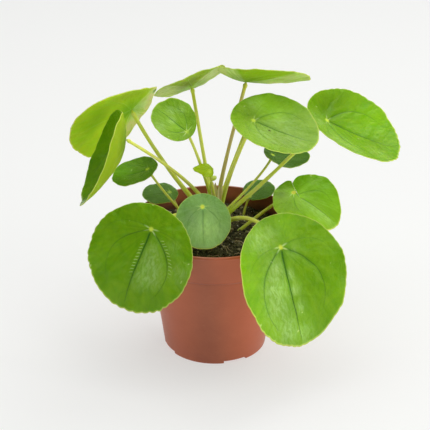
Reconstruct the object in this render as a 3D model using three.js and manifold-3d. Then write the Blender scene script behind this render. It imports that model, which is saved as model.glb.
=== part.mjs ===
// Potted pilea plant: a short-stemmed pilea in a moulded plastic nursery pot filled with peat.
// Millimetres, +Z up. The origin is the centre of the pot's foot, on the surface it stands on.
import * as THREE from 'three';
import { mergeVertices } from 'three/addons/utils/BufferGeometryUtils.js';
import Module from 'manifold-3d';

const wasm = await Module();
wasm.setup();

// ---------------------------------------------------------------- driving dimensions
const GAP = 0.3;               // clearance between pieces that touch

const POT_HEIGHT = 100;
const RIM_RADIUS = 60;
const COLLAR_DEPTH = 25;       // the thick band below the rim
const COLLAR_STEP = 1.7;       // how far the collar stands out from the body
const BODY_TOP_RADIUS = 51.3;
const BODY_KNEE_RADIUS = 41;   // the wall steepens below this height
const BODY_KNEE_HEIGHT = 24;
const FOOT_RADIUS = 37.8;
const FOOT_WIDTH = 5.3;
const FOOT_HEIGHT = 3;
const PAD_RADIUS = 9;          // flat moulding pad in the middle of the underside
const WALL = 1.5;
const FLOOR = 2;
const POT_SIDES = 48;           // sides of the pot, and of the soil that fills it

const SLOT_COUNT = 4;          // air slots cut in the foot ring
const SLOT_HEIGHT = 2.4;
const SLOT_ANGLE = 28;         // degrees of foot that each slot takes
const SLOT_FIRST = -66;        // compass angle of the first slot's middle, degrees
const DRAIN_COUNT = 6;
const DRAIN_RADIUS = 3.5;
const DRAIN_CIRCLE = 23;

const SOIL_LEVEL = 88;
const SOIL_LUMP = 1.1;         // height of the crumbs' relief
const SOIL_RINGS = 6;

const STEM_X = 1;
const STEM_BOTTOM = 62;        // the rooted end, in its hole in the soil
const STEM_TOP = 116;
const STEM_BASE_RADIUS = 6.4;
const STEM_TOP_RADIUS = 4.6;
const STEM_SIDES = 16;

const STALK_SIDES = 7;
const STALK_STEPS = 9;
const STALK_TAPER = 1.6;       // a stalk reaches its top thickness at 1 / this of its length
const STALK_SINK = 1.2;        // how far inside the stem's surface a stalk starts
const ROOTED_DEPTH = 12;       // how deep a stalk of its own stands in the soil

const BLADE_THICK = 0.9;
const BIG_LEAF = 50;           // blades longer than this get the finer mesh
const CREASE_SOFTNESS = 0.06;  // share of the length over which a fold rounds off at the midrib
const NOTCH_WIDTH = 0.16;      // radians of margin that a notch takes, each way

const LEAF_ROUGHNESS = 0.45;

const COLOURS = {
  pot: 0x9a5a44, soil: 0x2a2620, stem: 0x7d8a3a, sheath: 0x9b7b4d,
  stalk: 0x9aa53c, stalkBrown: 0x8a7a35,
  bright: 0x7fb51e, fresh: 0x8cbf2a, cool: 0x6f9a58, dark: 0x46702a,
};

// Each leaf: where the stalk meets the blade (hub), which way the tip points (heading, a compass
// angle from +X), how far it hangs (droop), how far it is turned about its midrib (roll), and its
// length and width. seat is the share of the length behind the hub. back and tip curl the two
// ends up, fold lifts both halves from the midrib, trough rounds them and notch cuts the
// margin back at notchTurn, degrees from the tip. A stalk starts on the stem at an angle and a
// height, or in the soil at x, y, and bends towards via. thick is the stalk's radius at each end.
const LEAVES = [
  { name: 'high_left', hub: [-60, 20, 178], heading: -155, droop: 8, roll: 50,
    length: 69, width: 81, seat: 0.26, tip: -0.2, back: 0.5, fold: 0.42, trough: -0.9,
    ruffle: 0.7, waves: 7, colour: 'bright',
    stem: [170, 99], via: [-39, 13, 137], thick: [2.0, 1.4] },
  { name: 'folded_left', hub: [-61.5, -27, 175.4], heading: 175, droop: 83, roll: -4,
    length: 72, width: 68, seat: 0.28, tip: 0.65, back: 0.8, fold: 0.4, trough: 0.3,
    ruffle: 0.5, waves: 6, colour: 'bright',
    stem: [205, 105], via: [-12, -6, 134], thick: [2.0, 1.4] },
  { name: 'cupped_centre', hub: [-20, -10, 174], heading: 158, droop: -31, roll: -31,
    length: 33, width: 32, seat: 0.14, fold: 0.1, trough: 0.25,
    ruffle: 0.6, waves: 5, colour: 'fresh',
    stem: [240, 113], via: [-13, -8, 160], thick: [1.5, 1.0] },
  { name: 'top_left', hub: [-17, 56, 181.6], heading: -94, droop: -32, roll: 24,
    length: 58, width: 56, seat: 0.2, back: 0.35, fold: 0.05,
    ruffle: 0.6, waves: 6, colour: 'bright',
    stem: [120, 107], via: [-3, 9, 112], thick: [1.8, 1.3] },
  { name: 'top_right', hub: [22, 14, 202], heading: 0, droop: 6, roll: -20,
    length: 67, width: 62, seat: 0.32, tip: 0.3, back: 1, fold: 0.25,
    ruffle: 0.5, waves: 6, colour: 'bright',
    stem: [60, 113], via: [1, 3, 122], thick: [1.9, 1.3], stalk: 'stalkBrown' },
  { name: 'centre_right', hub: [26.5, -20, 186.3], heading: -13, droop: 21, roll: 13,
    length: 63, width: 62.5, seat: 0.26, tip: 0.15, fold: 0.15, trough: 0.15,
    ruffle: 0.5, waves: 7, colour: 'fresh',
    stem: [-29, 107], via: [7, -4, 133], thick: [2.0, 1.4] },
  { name: 'far_right', hub: [80.5, 20, 169.7], heading: 5, droop: 30, roll: 18,
    length: 77, width: 70.5, seat: 0.24, tip: 0.16, back: 0.6, fold: 0.11, trough: 0.38,
    ruffle: 0.9, waves: 8, colour: 'bright',
    stem: [11, 101], via: [28, 6, 118], thick: [2.2, 1.4] },
  { name: 'shaded_right', hub: [42.5, 35, 135.7], heading: 7, droop: 22, roll: 3,
    length: 31, width: 30, seat: 0.22, tip: 0.4, back: 0.3,
    ruffle: 0.4, waves: 5, colour: 'dark',
    stem: [38, 102], via: [38, 31, 124], thick: [1.4, 1.0] },
  { name: 'seedling_back', hub: [26, 37, 100.7], heading: 42, droop: -12, roll: 7,
    length: 25, width: 24, seat: 0.1, fold: 0.1,
    ruffle: 0.3, waves: 5, colour: 'dark',
    soil: [21, 34], via: [23, 36, 96], thick: [1.1, 0.9] },
  { name: 'bud', hub: [-4, -16, 146], heading: 180, droop: -25, roll: -35,
    length: 18, width: 14, seat: 0.3, fold: 0.25,
    ruffle: 0.2, waves: 4, colour: 'fresh',
    stem: [-90, 114], via: [-1, -12, 129], thick: [1.1, 0.8] },
  { name: 'front_left', hub: [-44, -55, 120], heading: -136, droop: 57, roll: -28,
    length: 77, width: 76, seat: 0.22, tip: -0.3,
    ruffle: 0.8, waves: 9, colour: 'bright',
    stem: [-135, 101], via: [-26, -32, 128], thick: [2.2, 1.5] },
  { name: 'front_right', hub: [45, -65, 111], heading: -48, droop: 54, roll: 10,
    length: 92, width: 84, seat: 0.25, tip: -0.4, fold: 0.1, trough: 0.1,
    ruffle: 0.8, waves: 9, colour: 'bright',
    stem: [-50, 97], via: [28, -38, 136], thick: [2.3, 1.6] },
  { name: 'front_centre', hub: [-9, -30, 125], heading: -85, droop: 55, roll: -8,
    length: 40, width: 40, seat: 0.24, fold: 0.05,
    ruffle: 0.4, waves: 5, colour: 'cool',
    stem: [-100, 104], via: [-6, -20, 122], thick: [1.6, 1.2] },
  { name: 'low_right', hub: [57, 10, 115], heading: -26, droop: 10, roll: 3,
    length: 51, width: 56, seat: 0.26, tip: -0.4, trough: 0.5, notch: 0.22, notchTurn: 130,
    ruffle: 0.6, waves: 6, colour: 'cool',
    soil: [14, 7], via: [50, 10, 116], thick: [1.7, 1.2] },
  { name: 'low_left', hub: [-48, 20, 132], heading: -178, droop: 25, roll: -8,
    length: 35, width: 35, seat: 0.24, tip: 0.25, fold: 0.15,
    ruffle: 0.5, waves: 5, colour: 'dark',
    soil: [-10, 8], via: [-39, 17, 115], thick: [1.4, 1.1] },
  { name: 'seedling_left', hub: [-34, 35, 106], heading: -163, droop: 2, roll: -11,
    length: 27, width: 26, seat: 0.23, fold: 0.05,
    ruffle: 0.4, waves: 5, colour: 'dark',
    soil: [-24, 30], via: [-30, 34, 99], thick: [1.2, 0.9] },
  { name: 'shaded_centre', hub: [22.5, 35, 155.5], heading: 30, droop: 10, roll: 8,
    length: 30, width: 28, seat: 0.25, fold: 0.05,
    ruffle: 0.4, waves: 5, colour: 'dark',
    stem: [80, 107], via: [12, 18, 136], thick: [1.4, 1.0] },
];

// ---------------------------------------------------------------- solids and meshes
const object = new THREE.Group();
const deg = THREE.MathUtils.degToRad;

// A closed three.js geometry as a solid that can be cut and joined.
function toSolid(geometry) {
  const bare = new THREE.BufferGeometry();
  bare.setAttribute('position', geometry.attributes.position);
  if (geometry.index) bare.setIndex(geometry.index);
  const merged = mergeVertices(bare, 1e-4);
  return new wasm.Manifold(new wasm.Mesh({
    numProp: 3,
    vertProperties: new Float32Array(merged.attributes.position.array),
    triVerts: new Uint32Array(merged.index.array),
  }));
}

function toGeometry(solid) {
  const mesh = solid.getMesh();
  const geometry = new THREE.BufferGeometry();
  geometry.setAttribute('position', new THREE.BufferAttribute(mesh.vertProperties, 3));
  geometry.setIndex(new THREE.BufferAttribute(mesh.triVerts, 1));
  geometry.computeVertexNormals();
  return geometry;
}

// The largest body of a cut solid: crumbs that a cut leaves behind are dropped.
function mainBody(solid) {
  const bodies = solid.decompose();
  return bodies.reduce((best, body) => (body.volume() > best.volume() ? body : best));
}

function addPiece(name, solid, colour, roughness) {
  const material = new THREE.MeshStandardMaterial({ color: colour, roughness, metalness: 0 });
  const mesh = new THREE.Mesh(toGeometry(solid), material);
  mesh.name = name;
  object.add(mesh);
}

function lathe(profile, sides) {
  const points = profile.map(([radius, height]) => new THREE.Vector2(radius, height));
  const geometry = new THREE.LatheGeometry(points, sides);
  geometry.rotateX(Math.PI / 2);
  return toSolid(geometry);
}

// A closed skin through rings of equal count, with a fan of triangles at each end.
function loft(rings) {
  const sides = rings[0].length;
  const points = rings.flat();
  const index = [];
  for (let ring = 0; ring + 1 < rings.length; ring += 1) {
    for (let side = 0; side < sides; side += 1) {
      const a = ring * sides + side;
      const b = ring * sides + (side + 1) % sides;
      index.push(a, b, b + sides, a, b + sides, a + sides);
    }
  }
  const last = (rings.length - 1) * sides;
  for (let side = 1; side + 1 < sides; side += 1) {
    index.push(0, side + 1, side);
    index.push(last, last + side, last + side + 1);
  }
  const geometry = new THREE.BufferGeometry().setFromPoints(points);
  geometry.setIndex(index);
  return geometry;
}

// ---------------------------------------------------------------- the pot
function bodyRadius(height) {
  if (height < BODY_KNEE_HEIGHT) {
    return THREE.MathUtils.mapLinear(height, 0, BODY_KNEE_HEIGHT, FOOT_RADIUS, BODY_KNEE_RADIUS);
  }
  const collarBottom = POT_HEIGHT - COLLAR_DEPTH;
  return THREE.MathUtils.mapLinear(
    height, BODY_KNEE_HEIGHT, collarBottom, BODY_KNEE_RADIUS, BODY_TOP_RADIUS);
}

function innerRadius(height) {
  const collarBottom = POT_HEIGHT - COLLAR_DEPTH;
  if (height < collarBottom) return bodyRadius(height) - WALL;
  return THREE.MathUtils.mapLinear(
    height, collarBottom, POT_HEIGHT, BODY_TOP_RADIUS - WALL, RIM_RADIUS - WALL);
}

function wedge(angle, width, height) {
  const reach = FOOT_RADIUS * 1.3;
  const half = deg(width / 2);
  const shape = new THREE.Shape();
  shape.moveTo(0, 0);
  shape.absarc(0, 0, reach, deg(angle) - half, deg(angle) + half, false);
  shape.closePath();
  const geometry = new THREE.ExtrudeGeometry(shape, { depth: height + 1, bevelEnabled: false });
  geometry.translate(0, 0, -1);
  return toSolid(geometry);
}

function makePot() {
  const collarBottom = POT_HEIGHT - COLLAR_DEPTH;
  const floorTop = FOOT_HEIGHT + FLOOR;
  const profile = [
    [0, 0], [PAD_RADIUS, 0], [PAD_RADIUS + 2, FOOT_HEIGHT],
    [FOOT_RADIUS - FOOT_WIDTH, FOOT_HEIGHT], [FOOT_RADIUS - FOOT_WIDTH, 0], [FOOT_RADIUS - 0.6, 0],
    [bodyRadius(0.6), 0.6], [bodyRadius(BODY_KNEE_HEIGHT), BODY_KNEE_HEIGHT],
    [BODY_TOP_RADIUS, collarBottom], [BODY_TOP_RADIUS + COLLAR_STEP, collarBottom + 0.6],
    [RIM_RADIUS, POT_HEIGHT - 0.5], [RIM_RADIUS - 0.5, POT_HEIGHT],
    [RIM_RADIUS - WALL, POT_HEIGHT], [innerRadius(collarBottom), collarBottom],
    [innerRadius(BODY_KNEE_HEIGHT), BODY_KNEE_HEIGHT], [innerRadius(floorTop), floorTop],
    [0, floorTop],
  ];
  let pot = lathe(profile, POT_SIDES);
  const middle = toSolid(new THREE.CylinderGeometry(
    FOOT_RADIUS / 2, FOOT_RADIUS / 2, POT_HEIGHT, 24).rotateX(Math.PI / 2));
  for (let slot = 0; slot < SLOT_COUNT; slot += 1) {
    const cut = wedge(SLOT_FIRST + slot * 360 / SLOT_COUNT, SLOT_ANGLE, SLOT_HEIGHT);
    pot = pot.subtract(cut.subtract(middle));
  }
  for (let hole = 0; hole < DRAIN_COUNT; hole += 1) {
    const angle = deg(hole * 360 / DRAIN_COUNT);
    const drill = new THREE.CylinderGeometry(DRAIN_RADIUS, DRAIN_RADIUS, 4 * FLOOR, 14);
    drill.rotateX(Math.PI / 2);
    drill.translate(DRAIN_CIRCLE * Math.cos(angle), DRAIN_CIRCLE * Math.sin(angle), floorTop);
    pot = pot.subtract(toSolid(drill));
  }
  return pot;
}

// ---------------------------------------------------------------- stalks and blades
function leafAxes(leaf) {
  const heading = deg(leaf.heading);
  const droop = deg(leaf.droop);
  const forward = new THREE.Vector3(
    Math.cos(heading) * Math.cos(droop), Math.sin(heading) * Math.cos(droop), -Math.sin(droop));
  const left = new THREE.Vector3(-Math.sin(heading), Math.cos(heading), 0);
  left.applyAxisAngle(forward, deg(leaf.roll));
  const up = new THREE.Vector3().crossVectors(forward, left);
  return { forward, left, up };
}

function bladeHeight(leaf, x, y) {
  const soft = CREASE_SOFTNESS * leaf.length;
  const curl = (x > 0 ? leaf.tip : leaf.back) || 0;
  const fold = (leaf.fold || 0) * (Math.hypot(y, soft) - soft);
  return fold + (curl * x * x + (leaf.trough || 0) * y * y) / leaf.length;
}

// Millimetres of height along the blade's upward axis that give the blade its true thickness.
function bladeThickness(leaf, x, y) {
  const step = 0.5;
  const slopeX = (bladeHeight(leaf, x + step, y) - bladeHeight(leaf, x - step, y)) / (2 * step);
  const slopeY = (bladeHeight(leaf, x, y + step) - bladeHeight(leaf, x, y - step)) / (2 * step);
  return BLADE_THICK * Math.hypot(1, slopeX, slopeY);
}

// The margin's distance from the hub, as x along the midrib and y across it.
function marginPoint(leaf, turn) {
  const fromNotch = turn - deg(leaf.notchTurn || 180);
  const reach = 1 - (leaf.notch || 0) * Math.exp(-((fromNotch / NOTCH_WIDTH) ** 2));
  const x = leaf.length * (0.5 - leaf.seat + Math.cos(turn) / 2);
  const y = leaf.width * Math.sin(turn) / 2;
  return [reach * x, reach * y];
}

// One blade: rings of points round the hub, out to the waved margin, on both faces, with the
// same split of each square into triangles above and below. grow thickens it for cutting.
function makeBlade(leaf, grow) {
  const big = leaf.length > BIG_LEAF;
  const sides = big ? 36 : 24;
  const rings = big ? 3 : 2;
  const { forward, left, up } = leafAxes(leaf);
  const hub = new THREE.Vector3(...leaf.hub);
  const points = [];
  const place = (x, y, z) => points.push(hub.clone()
    .addScaledVector(forward, x).addScaledVector(left, y).addScaledVector(up, z));
  const face = (side) => {
    place(0, 0, side * grow + (side > 0 ? BLADE_THICK : 0));
    for (let ring = 1; ring <= rings; ring += 1) {
      const share = ring / rings;
      for (let step = 0; step < sides; step += 1) {
        const turn = 2 * Math.PI * step / sides;
        const [x, y] = marginPoint(leaf, turn).map((reach) => share * reach);
        const wave = leaf.ruffle * Math.sin(leaf.waves * turn) * share ** 3;
        const lift = side > 0 ? bladeThickness(leaf, x, y) + grow : -grow;
        place(x, y, bladeHeight(leaf, x, y) + wave + lift);
      }
    }
  };
  face(1);
  face(-1);
  const under = points.length / 2;
  const index = [];
  const both = (a, b, c) => index.push(a, b, c, a + under, c + under, b + under);
  for (let step = 0; step < sides; step += 1) {
    const next = (step + 1) % sides;
    both(0, 1 + step, 1 + next);
    for (let ring = 0; ring + 1 < rings; ring += 1) {
      const inner = 1 + ring * sides;
      const outer = inner + sides;
      both(inner + step, outer + step, outer + next);
      both(inner + step, outer + next, inner + next);
    }
    const edge = 1 + (rings - 1) * sides;
    index.push(edge + step, edge + step + under, edge + next + under);
    index.push(edge + step, edge + next + under, edge + next);
  }
  const geometry = new THREE.BufferGeometry().setFromPoints(points);
  geometry.setIndex(index);
  return toSolid(geometry);
}

function stalkRoot(leaf) {
  if (leaf.soil) return new THREE.Vector3(leaf.soil[0], leaf.soil[1], SOIL_LEVEL);
  const [angle, height] = leaf.stem;
  const radius = STEM_TOP_RADIUS - STALK_SINK;
  return new THREE.Vector3(
    STEM_X + radius * Math.cos(deg(angle)), radius * Math.sin(deg(angle)), height);
}

// One leaf stalk: a tapering tube from its root, by way of its bend, into the blade's hub.
function makeStalk(leaf, grow) {
  const root = stalkRoot(leaf);
  const hub = new THREE.Vector3(...leaf.hub).addScaledVector(leafAxes(leaf).up, BLADE_THICK / 2);
  const curve = new THREE.QuadraticBezierCurve3(root, new THREE.Vector3(...leaf.via), hub);
  const centres = curve.getPoints(STALK_STEPS);
  const [baseRadius, topRadius] = leaf.thick;
  const radii = centres.map((_, step) => THREE.MathUtils.lerp(
    baseRadius, topRadius, Math.min(1, STALK_TAPER * step / STALK_STEPS)));
  if (leaf.soil) {
    centres.unshift(root.clone().setZ(SOIL_LEVEL - ROOTED_DEPTH));
    radii.unshift(baseRadius);
  }
  const outward = centres[0].clone().sub(centres[1]).normalize();
  centres[0].addScaledVector(outward, grow);
  let side = new THREE.Vector3(1, 0, 0);
  const rings = centres.map((centre, step) => {
    const before = centres[Math.max(0, step - 1)];
    const after = centres[Math.min(centres.length - 1, step + 1)];
    const along = after.clone().sub(before).normalize();
    side = side.clone().addScaledVector(along, -side.dot(along)).normalize();
    const across = new THREE.Vector3().crossVectors(along, side);
    return Array.from({ length: STALK_SIDES }, (_, corner) => {
      const turn = 2 * Math.PI * corner / STALK_SIDES;
      return centre.clone()
        .addScaledVector(side, (radii[step] + grow) * Math.cos(turn))
        .addScaledVector(across, (radii[step] + grow) * Math.sin(turn));
    });
  });
  return toSolid(loft(rings));
}

// ---------------------------------------------------------------- stem, soil and sheath
function makeStem(grow) {
  const stem = lathe([
    [0, STEM_BOTTOM - grow], [STEM_BASE_RADIUS * 0.7 + grow, STEM_BOTTOM - grow],
    [STEM_BASE_RADIUS + grow, SOIL_LEVEL - 6], [STEM_BASE_RADIUS * 0.9 + grow, SOIL_LEVEL + 12],
    [STEM_TOP_RADIUS + grow, STEM_TOP - 2], [STEM_TOP_RADIUS * 0.7 + grow, STEM_TOP + grow],
    [0, STEM_TOP + grow],
  ], STEM_SIDES);
  return stem.translate([STEM_X, 0, 0]);
}

function makeSoil() {
  const bottom = FOOT_HEIGHT + FLOOR + GAP;
  const edgeHeight = SOIL_LEVEL - SOIL_LUMP;
  const edge = innerRadius(edgeHeight) - GAP;
  const ring = (radius, height) => Array.from({ length: POT_SIDES }, (_, side) => {
    const turn = 2 * Math.PI * side / POT_SIDES;
    return new THREE.Vector3(radius * Math.cos(turn), radius * Math.sin(turn), height);
  });
  const knee = BODY_KNEE_HEIGHT;
  const collarBottom = POT_HEIGHT - COLLAR_DEPTH;
  const rings = [bottom, knee, collarBottom].map(
    (height) => ring(innerRadius(height) - GAP, height));
  for (let step = 0; step < SOIL_RINGS; step += 1) {
    const radius = edge * (1 - step / SOIL_RINGS);
    rings.push(ring(radius, SOIL_LEVEL).map((point) => {
      const rough = Math.sin(0.31 * point.x + 1.3) * Math.cos(0.27 * point.y + 0.4)
        + 0.6 * Math.sin(0.53 * point.x - 0.41 * point.y);
      return point.setZ(step > 0 ? SOIL_LEVEL + SOIL_LUMP * rough / 1.6 : edgeHeight);
    }));
  }
  return toSolid(loft(rings));
}

// The papery sheath that the newest leaves grow out of: four pointed scales on one low ring.
function makeSheath() {
  const floor = STEM_TOP + GAP;
  let sheath = lathe([[0, floor], [3.1, floor], [2.6, floor + 1.6], [0, floor + 1.6]], 12);
  for (let scale = 0; scale < 4; scale += 1) {
    const length = 11 + 1.5 * (scale % 2);
    const cone = new THREE.ConeGeometry(1.7, length, 6);
    cone.scale(1, 1, 0.5);
    cone.rotateX(Math.PI / 2);
    cone.translate(0, 0, length / 2);
    cone.rotateY(deg(8));
    cone.translate(1.5, 0, floor + 0.6);
    cone.rotateZ(deg(35 + 90 * scale));
    sheath = sheath.add(toSolid(cone));
  }
  return sheath.translate([STEM_X, 0, 0]);
}

// ---------------------------------------------------------------- the assembly
const stemRoom = makeStem(GAP);
let stalkRoom = stemRoom;
let soil = makeSoil().subtract(stemRoom);
let sheath = makeSheath();

addPiece('pot', makePot(), COLOURS.pot, 0.55);
addPiece('main_stem', makeStem(0), COLOURS.stem, 0.6);

for (const leaf of LEAVES) {
  const blade = makeBlade(leaf, 0);
  const room = makeStalk(leaf, GAP);
  const stalk = mainBody(makeStalk(leaf, 0).subtract(makeBlade(leaf, GAP)).subtract(stalkRoom));
  stalkRoom = stalkRoom.add(room);
  soil = soil.subtract(room);
  sheath = sheath.subtract(room);
  addPiece(`stalk_${leaf.name}`, stalk, COLOURS[leaf.stalk || 'stalk'], LEAF_ROUGHNESS);
  addPiece(`blade_${leaf.name}`, blade, COLOURS[leaf.colour], LEAF_ROUGHNESS);
}

addPiece('soil', mainBody(soil), COLOURS.soil, 0.95);
addPiece('stipules', mainBody(sheath), COLOURS.sheath, 0.8);

export default object;
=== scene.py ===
# %% [markdown]
# # A potted pilea
#
# This lesson dresses a plain model of a pilea in its nursery pot. The plain model, the frame, has one
# solid for each piece: a pot, the soil, a short stem, papery scales, and a stalk and a blade for each
# leaf. Each step below makes one kind of piece again in fine detail, in the same place and form, and
# gives it a finish. All lengths are in metres unless a name ends in `_MM` or a comment says so.

# %% Load the frame
import math

import bpy
import numpy as np
from mathutils import Matrix, Vector


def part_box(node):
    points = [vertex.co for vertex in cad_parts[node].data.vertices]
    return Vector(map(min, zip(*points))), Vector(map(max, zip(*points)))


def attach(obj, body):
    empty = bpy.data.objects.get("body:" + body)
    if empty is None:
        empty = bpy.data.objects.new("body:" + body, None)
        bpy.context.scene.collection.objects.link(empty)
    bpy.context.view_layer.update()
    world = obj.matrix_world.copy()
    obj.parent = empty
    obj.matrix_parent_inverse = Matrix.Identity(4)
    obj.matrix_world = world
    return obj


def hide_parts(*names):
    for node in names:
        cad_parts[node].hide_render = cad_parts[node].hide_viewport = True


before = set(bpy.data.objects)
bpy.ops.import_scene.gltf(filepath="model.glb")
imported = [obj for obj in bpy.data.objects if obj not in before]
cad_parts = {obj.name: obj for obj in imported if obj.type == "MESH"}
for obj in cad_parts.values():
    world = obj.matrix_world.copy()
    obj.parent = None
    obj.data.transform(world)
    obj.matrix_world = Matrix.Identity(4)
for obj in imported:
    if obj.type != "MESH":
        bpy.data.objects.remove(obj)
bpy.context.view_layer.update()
MM = 0.001
print("frame nodes:", len(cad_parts))

# %% [markdown]
# ## Helpers
#
# Colours are given as sRGB hex values, but a shader works with linear light, so one function
# turns one into the other. A shader or geometry tree is a list of nodes, so one function adds a node,
# sets its properties, and fills or links its inputs.

# %% Colour and node helpers
def linear(colour):
    """A linear RGBA colour from an sRGB hex value such as 0x7fb51e."""
    channels = [(colour >> shift & 255) / 255 for shift in (16, 8, 0)]
    return [c / 12.92 if c <= 0.04045 else ((c + 0.055) / 1.055) ** 2.4 for c in channels] + [1.0]


def add_node(tree, kind, settings=None, inputs=None):
    """Adds a node with its properties set and its inputs filled or linked, by name or number."""
    made = tree.nodes.new(kind)
    for name, value in (settings or {}).items():
        setattr(made, name, value)
    for name, value in (inputs or {}).items():
        if isinstance(value, bpy.types.NodeSocket):
            tree.links.new(value, made.inputs[name])
        else:
            made.inputs[name].default_value = value
    return made


def new_material(name):
    """An empty material and its tree."""
    material = bpy.data.materials.new(name)
    material.use_nodes = True
    material.node_tree.nodes.clear()
    return material, material.node_tree


def finish_material(tree, bsdf):
    add_node(tree, "ShaderNodeOutputMaterial", inputs={"Surface": bsdf.outputs["BSDF"]})


print("white is", [round(v, 2) for v in linear(0xf2f2f2)])

# %% [markdown]
# A finished piece is a mesh in its right place, with its object at the origin. One function makes it,
# stores the numbers that its shader reads at each point, gives it its material, hangs it on the
# plant's one body and hides the frame's parts that it replaces. Stalks, roots and the stem are tubes:
# rings of points set square to a path.

# %% Piece helpers
def new_mesh(name, points, faces):
    mesh = bpy.data.meshes.new(name)
    mesh.from_pydata([tuple(p) for p in points], [], [tuple(f) for f in faces])
    return mesh


def new_object(name, data):
    """An object in the scene that shows a mesh, a lamp or a camera."""
    made = bpy.data.objects.new(name, data)
    bpy.context.collection.objects.link(made)
    return made


def new_piece(name, points, faces, material, nodes, attributes=None):
    """A smooth piece from points in metres, riding on the plant's one body."""
    mesh = new_mesh(name, points, faces)
    mesh.update()
    mesh.polygons.foreach_set("use_smooth", [True] * len(mesh.polygons))
    for label, values in (attributes or {}).items():
        values = np.asarray(values, dtype=np.float32)
        vector = values.ndim == 2
        layer = mesh.attributes.new(label, "FLOAT_VECTOR" if vector else "FLOAT", "POINT")
        layer.data.foreach_set("vector" if vector else "value", values.ravel())
    mesh.materials.append(material)
    piece = new_object(name, mesh)
    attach(piece, "root")
    if nodes:
        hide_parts(*nodes)
    return piece


def closed_rings(rings, sides):
    """The faces of a closed skin whose points lie ring after ring: quads, and a cap on each end."""
    faces = []
    for ring in range(rings - 1):
        for step in range(sides):
            here = ring * sides + step
            after = ring * sides + (step + 1) % sides
            faces.append((here, after, after + sides, here + sides))
    last = (rings - 1) * sides
    return faces + [tuple(range(sides))[::-1], tuple(range(last, last + sides))]


def tube(centres, radii, sides, ribs=0.0, rib_count=5):
    """Points and faces of a closed tube along a path, with each point's way along and around it."""
    centres = np.asarray(centres, float)
    along = np.gradient(centres, axis=0)
    along /= np.linalg.norm(along, axis=1)[:, None]
    turns = 2 * np.pi * np.arange(sides) / sides
    side = np.array([1.0, 0.0, 0.0])
    points, around = [], []
    for centre, ahead, radius in zip(centres, along, radii):
        side = side - ahead * side.dot(ahead)
        side /= np.linalg.norm(side)
        across = np.cross(ahead, side)
        reach = radius * (1 + ribs * np.cos(rib_count * turns))
        points.append(centre + np.outer(reach * np.cos(turns), side)
                      + np.outer(reach * np.sin(turns), across))
        around.append(np.stack([np.cos(turns), np.sin(turns)], 1))
    lengths = np.r_[0, np.cumsum(np.linalg.norm(np.diff(centres, axis=0), axis=1))]
    return (np.concatenate(points), closed_rings(len(centres), sides), np.repeat(lengths, sides),
            np.concatenate(around))


print("a tube of 2 rings and 6 sides has", len(closed_rings(2, 6)), "faces")

# %% [markdown]
# ## Camera, floor and light
#
# The plant stands on a white table and is seen from a little above, through a long lens from a metre
# away, which keeps the pot's sides nearly parallel. The table top is milky acrylic, lit from below,
# which thins the shadows until only a pale one is left. Most of the light comes from a wide overhead
# panel. A soft box behind and to the right makes the leaves glow, a tall narrow strip at the right
# draws a highlight down the pot, and a small box in front at the right lights the leaves that face
# forward. A faint white sky fills the rest. A plain floor that reaches far back needs no backdrop.

# %% Camera
CAMERA_DISTANCE = 1.0
CAMERA_HEIGHT = 0.596
CAMERA_DIP = 26.2            # degrees below the horizon
LENS_MM = 128
SENSOR_MM = 36

camera = new_object("camera", bpy.data.cameras.new("camera"))
camera.data.lens = LENS_MM
camera.data.sensor_width = SENSOR_MM
camera.data.clip_start = 0.05
camera.location = (0, -CAMERA_DISTANCE, CAMERA_HEIGHT)
camera.rotation_euler = (math.radians(90 - CAMERA_DIP), 0, 0)
bpy.context.scene.camera = camera
bpy.context.scene.view_settings.view_transform = "Standard"
print("camera looks down", CAMERA_DIP, "degrees")

# %% Table and sky
TABLE_HALF = 4.0             # half the table's side
TABLE_GLOW = 0.55            # how brightly the table is lit from below
SKY_STRENGTH = 0.1

table_material, tree = new_material("back-lit milky acrylic")
finish_material(tree, add_node(tree, "ShaderNodeBsdfPrincipled", inputs={
    "Base Color": linear(0xaaaba8), "Roughness": 0.9, "Specular IOR Level": 0.1,
    "Emission Color": linear(0xffffff), "Emission Strength": TABLE_GLOW}))
corners = [(TABLE_HALF * x, TABLE_HALF * y, 0) for x, y in ((-1, -1), (1, -1), (1, 1), (-1, 1))]
table = new_object("table", new_mesh("table", corners, [(0, 1, 2, 3)]))
table.data.materials.append(table_material)

world = bpy.data.worlds.new("white studio")
world.use_nodes = True
world.node_tree.nodes.clear()
sky = add_node(world.node_tree, "ShaderNodeBackground", inputs={
    "Color": linear(0xffffff), "Strength": SKY_STRENGTH})
add_node(world.node_tree, "ShaderNodeOutputWorld", inputs={"Surface": sky.outputs["Background"]})
bpy.context.scene.world = world
print("table side, m:", 2 * TABLE_HALF)

# %% Lamps
LAMPS = {                    # where, width and height in metres, watts
    "overhead": ((0.0, 0.0, 1.7), (2.2, 2.2), 23.0),
    "key_right": ((0.62, 0.8, 1.5), (1.2, 1.2), 9.0),
    "strip_right": ((1.24, -0.47, 0.58), (0.16, 1.1), 4.0),
    "box_front": ((0.72, -1.12, 1.3), (0.6, 0.6), 3.5),
}
AIM = Vector((0, 0, 0.12))   # every lamp points at the middle of the plant
for name, (place, size, watts) in LAMPS.items():
    lamp = new_object(name, bpy.data.lights.new(name, "AREA"))
    lamp.data.shape = "RECTANGLE"
    lamp.data.size, lamp.data.size_y = size
    lamp.data.energy = watts
    lamp.location = place
    lamp.rotation_euler = (AIM - Vector(place)).to_track_quat("-Z", "Y").to_euler()
print("lamps:", list(LAMPS))

# %% [markdown]
# ## The pot
#
# A nursery pot is blown or pressed from thin polypropylene with some filler, coloured terracotta
# brown. It has a thick collar under the rim, a body that tapers and then steepens near the floor, and
# a foot ring with slots that let water drain. Its section is one closed outline turned round the
# axis, with each corner rounded as a mould rounds it.

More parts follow.
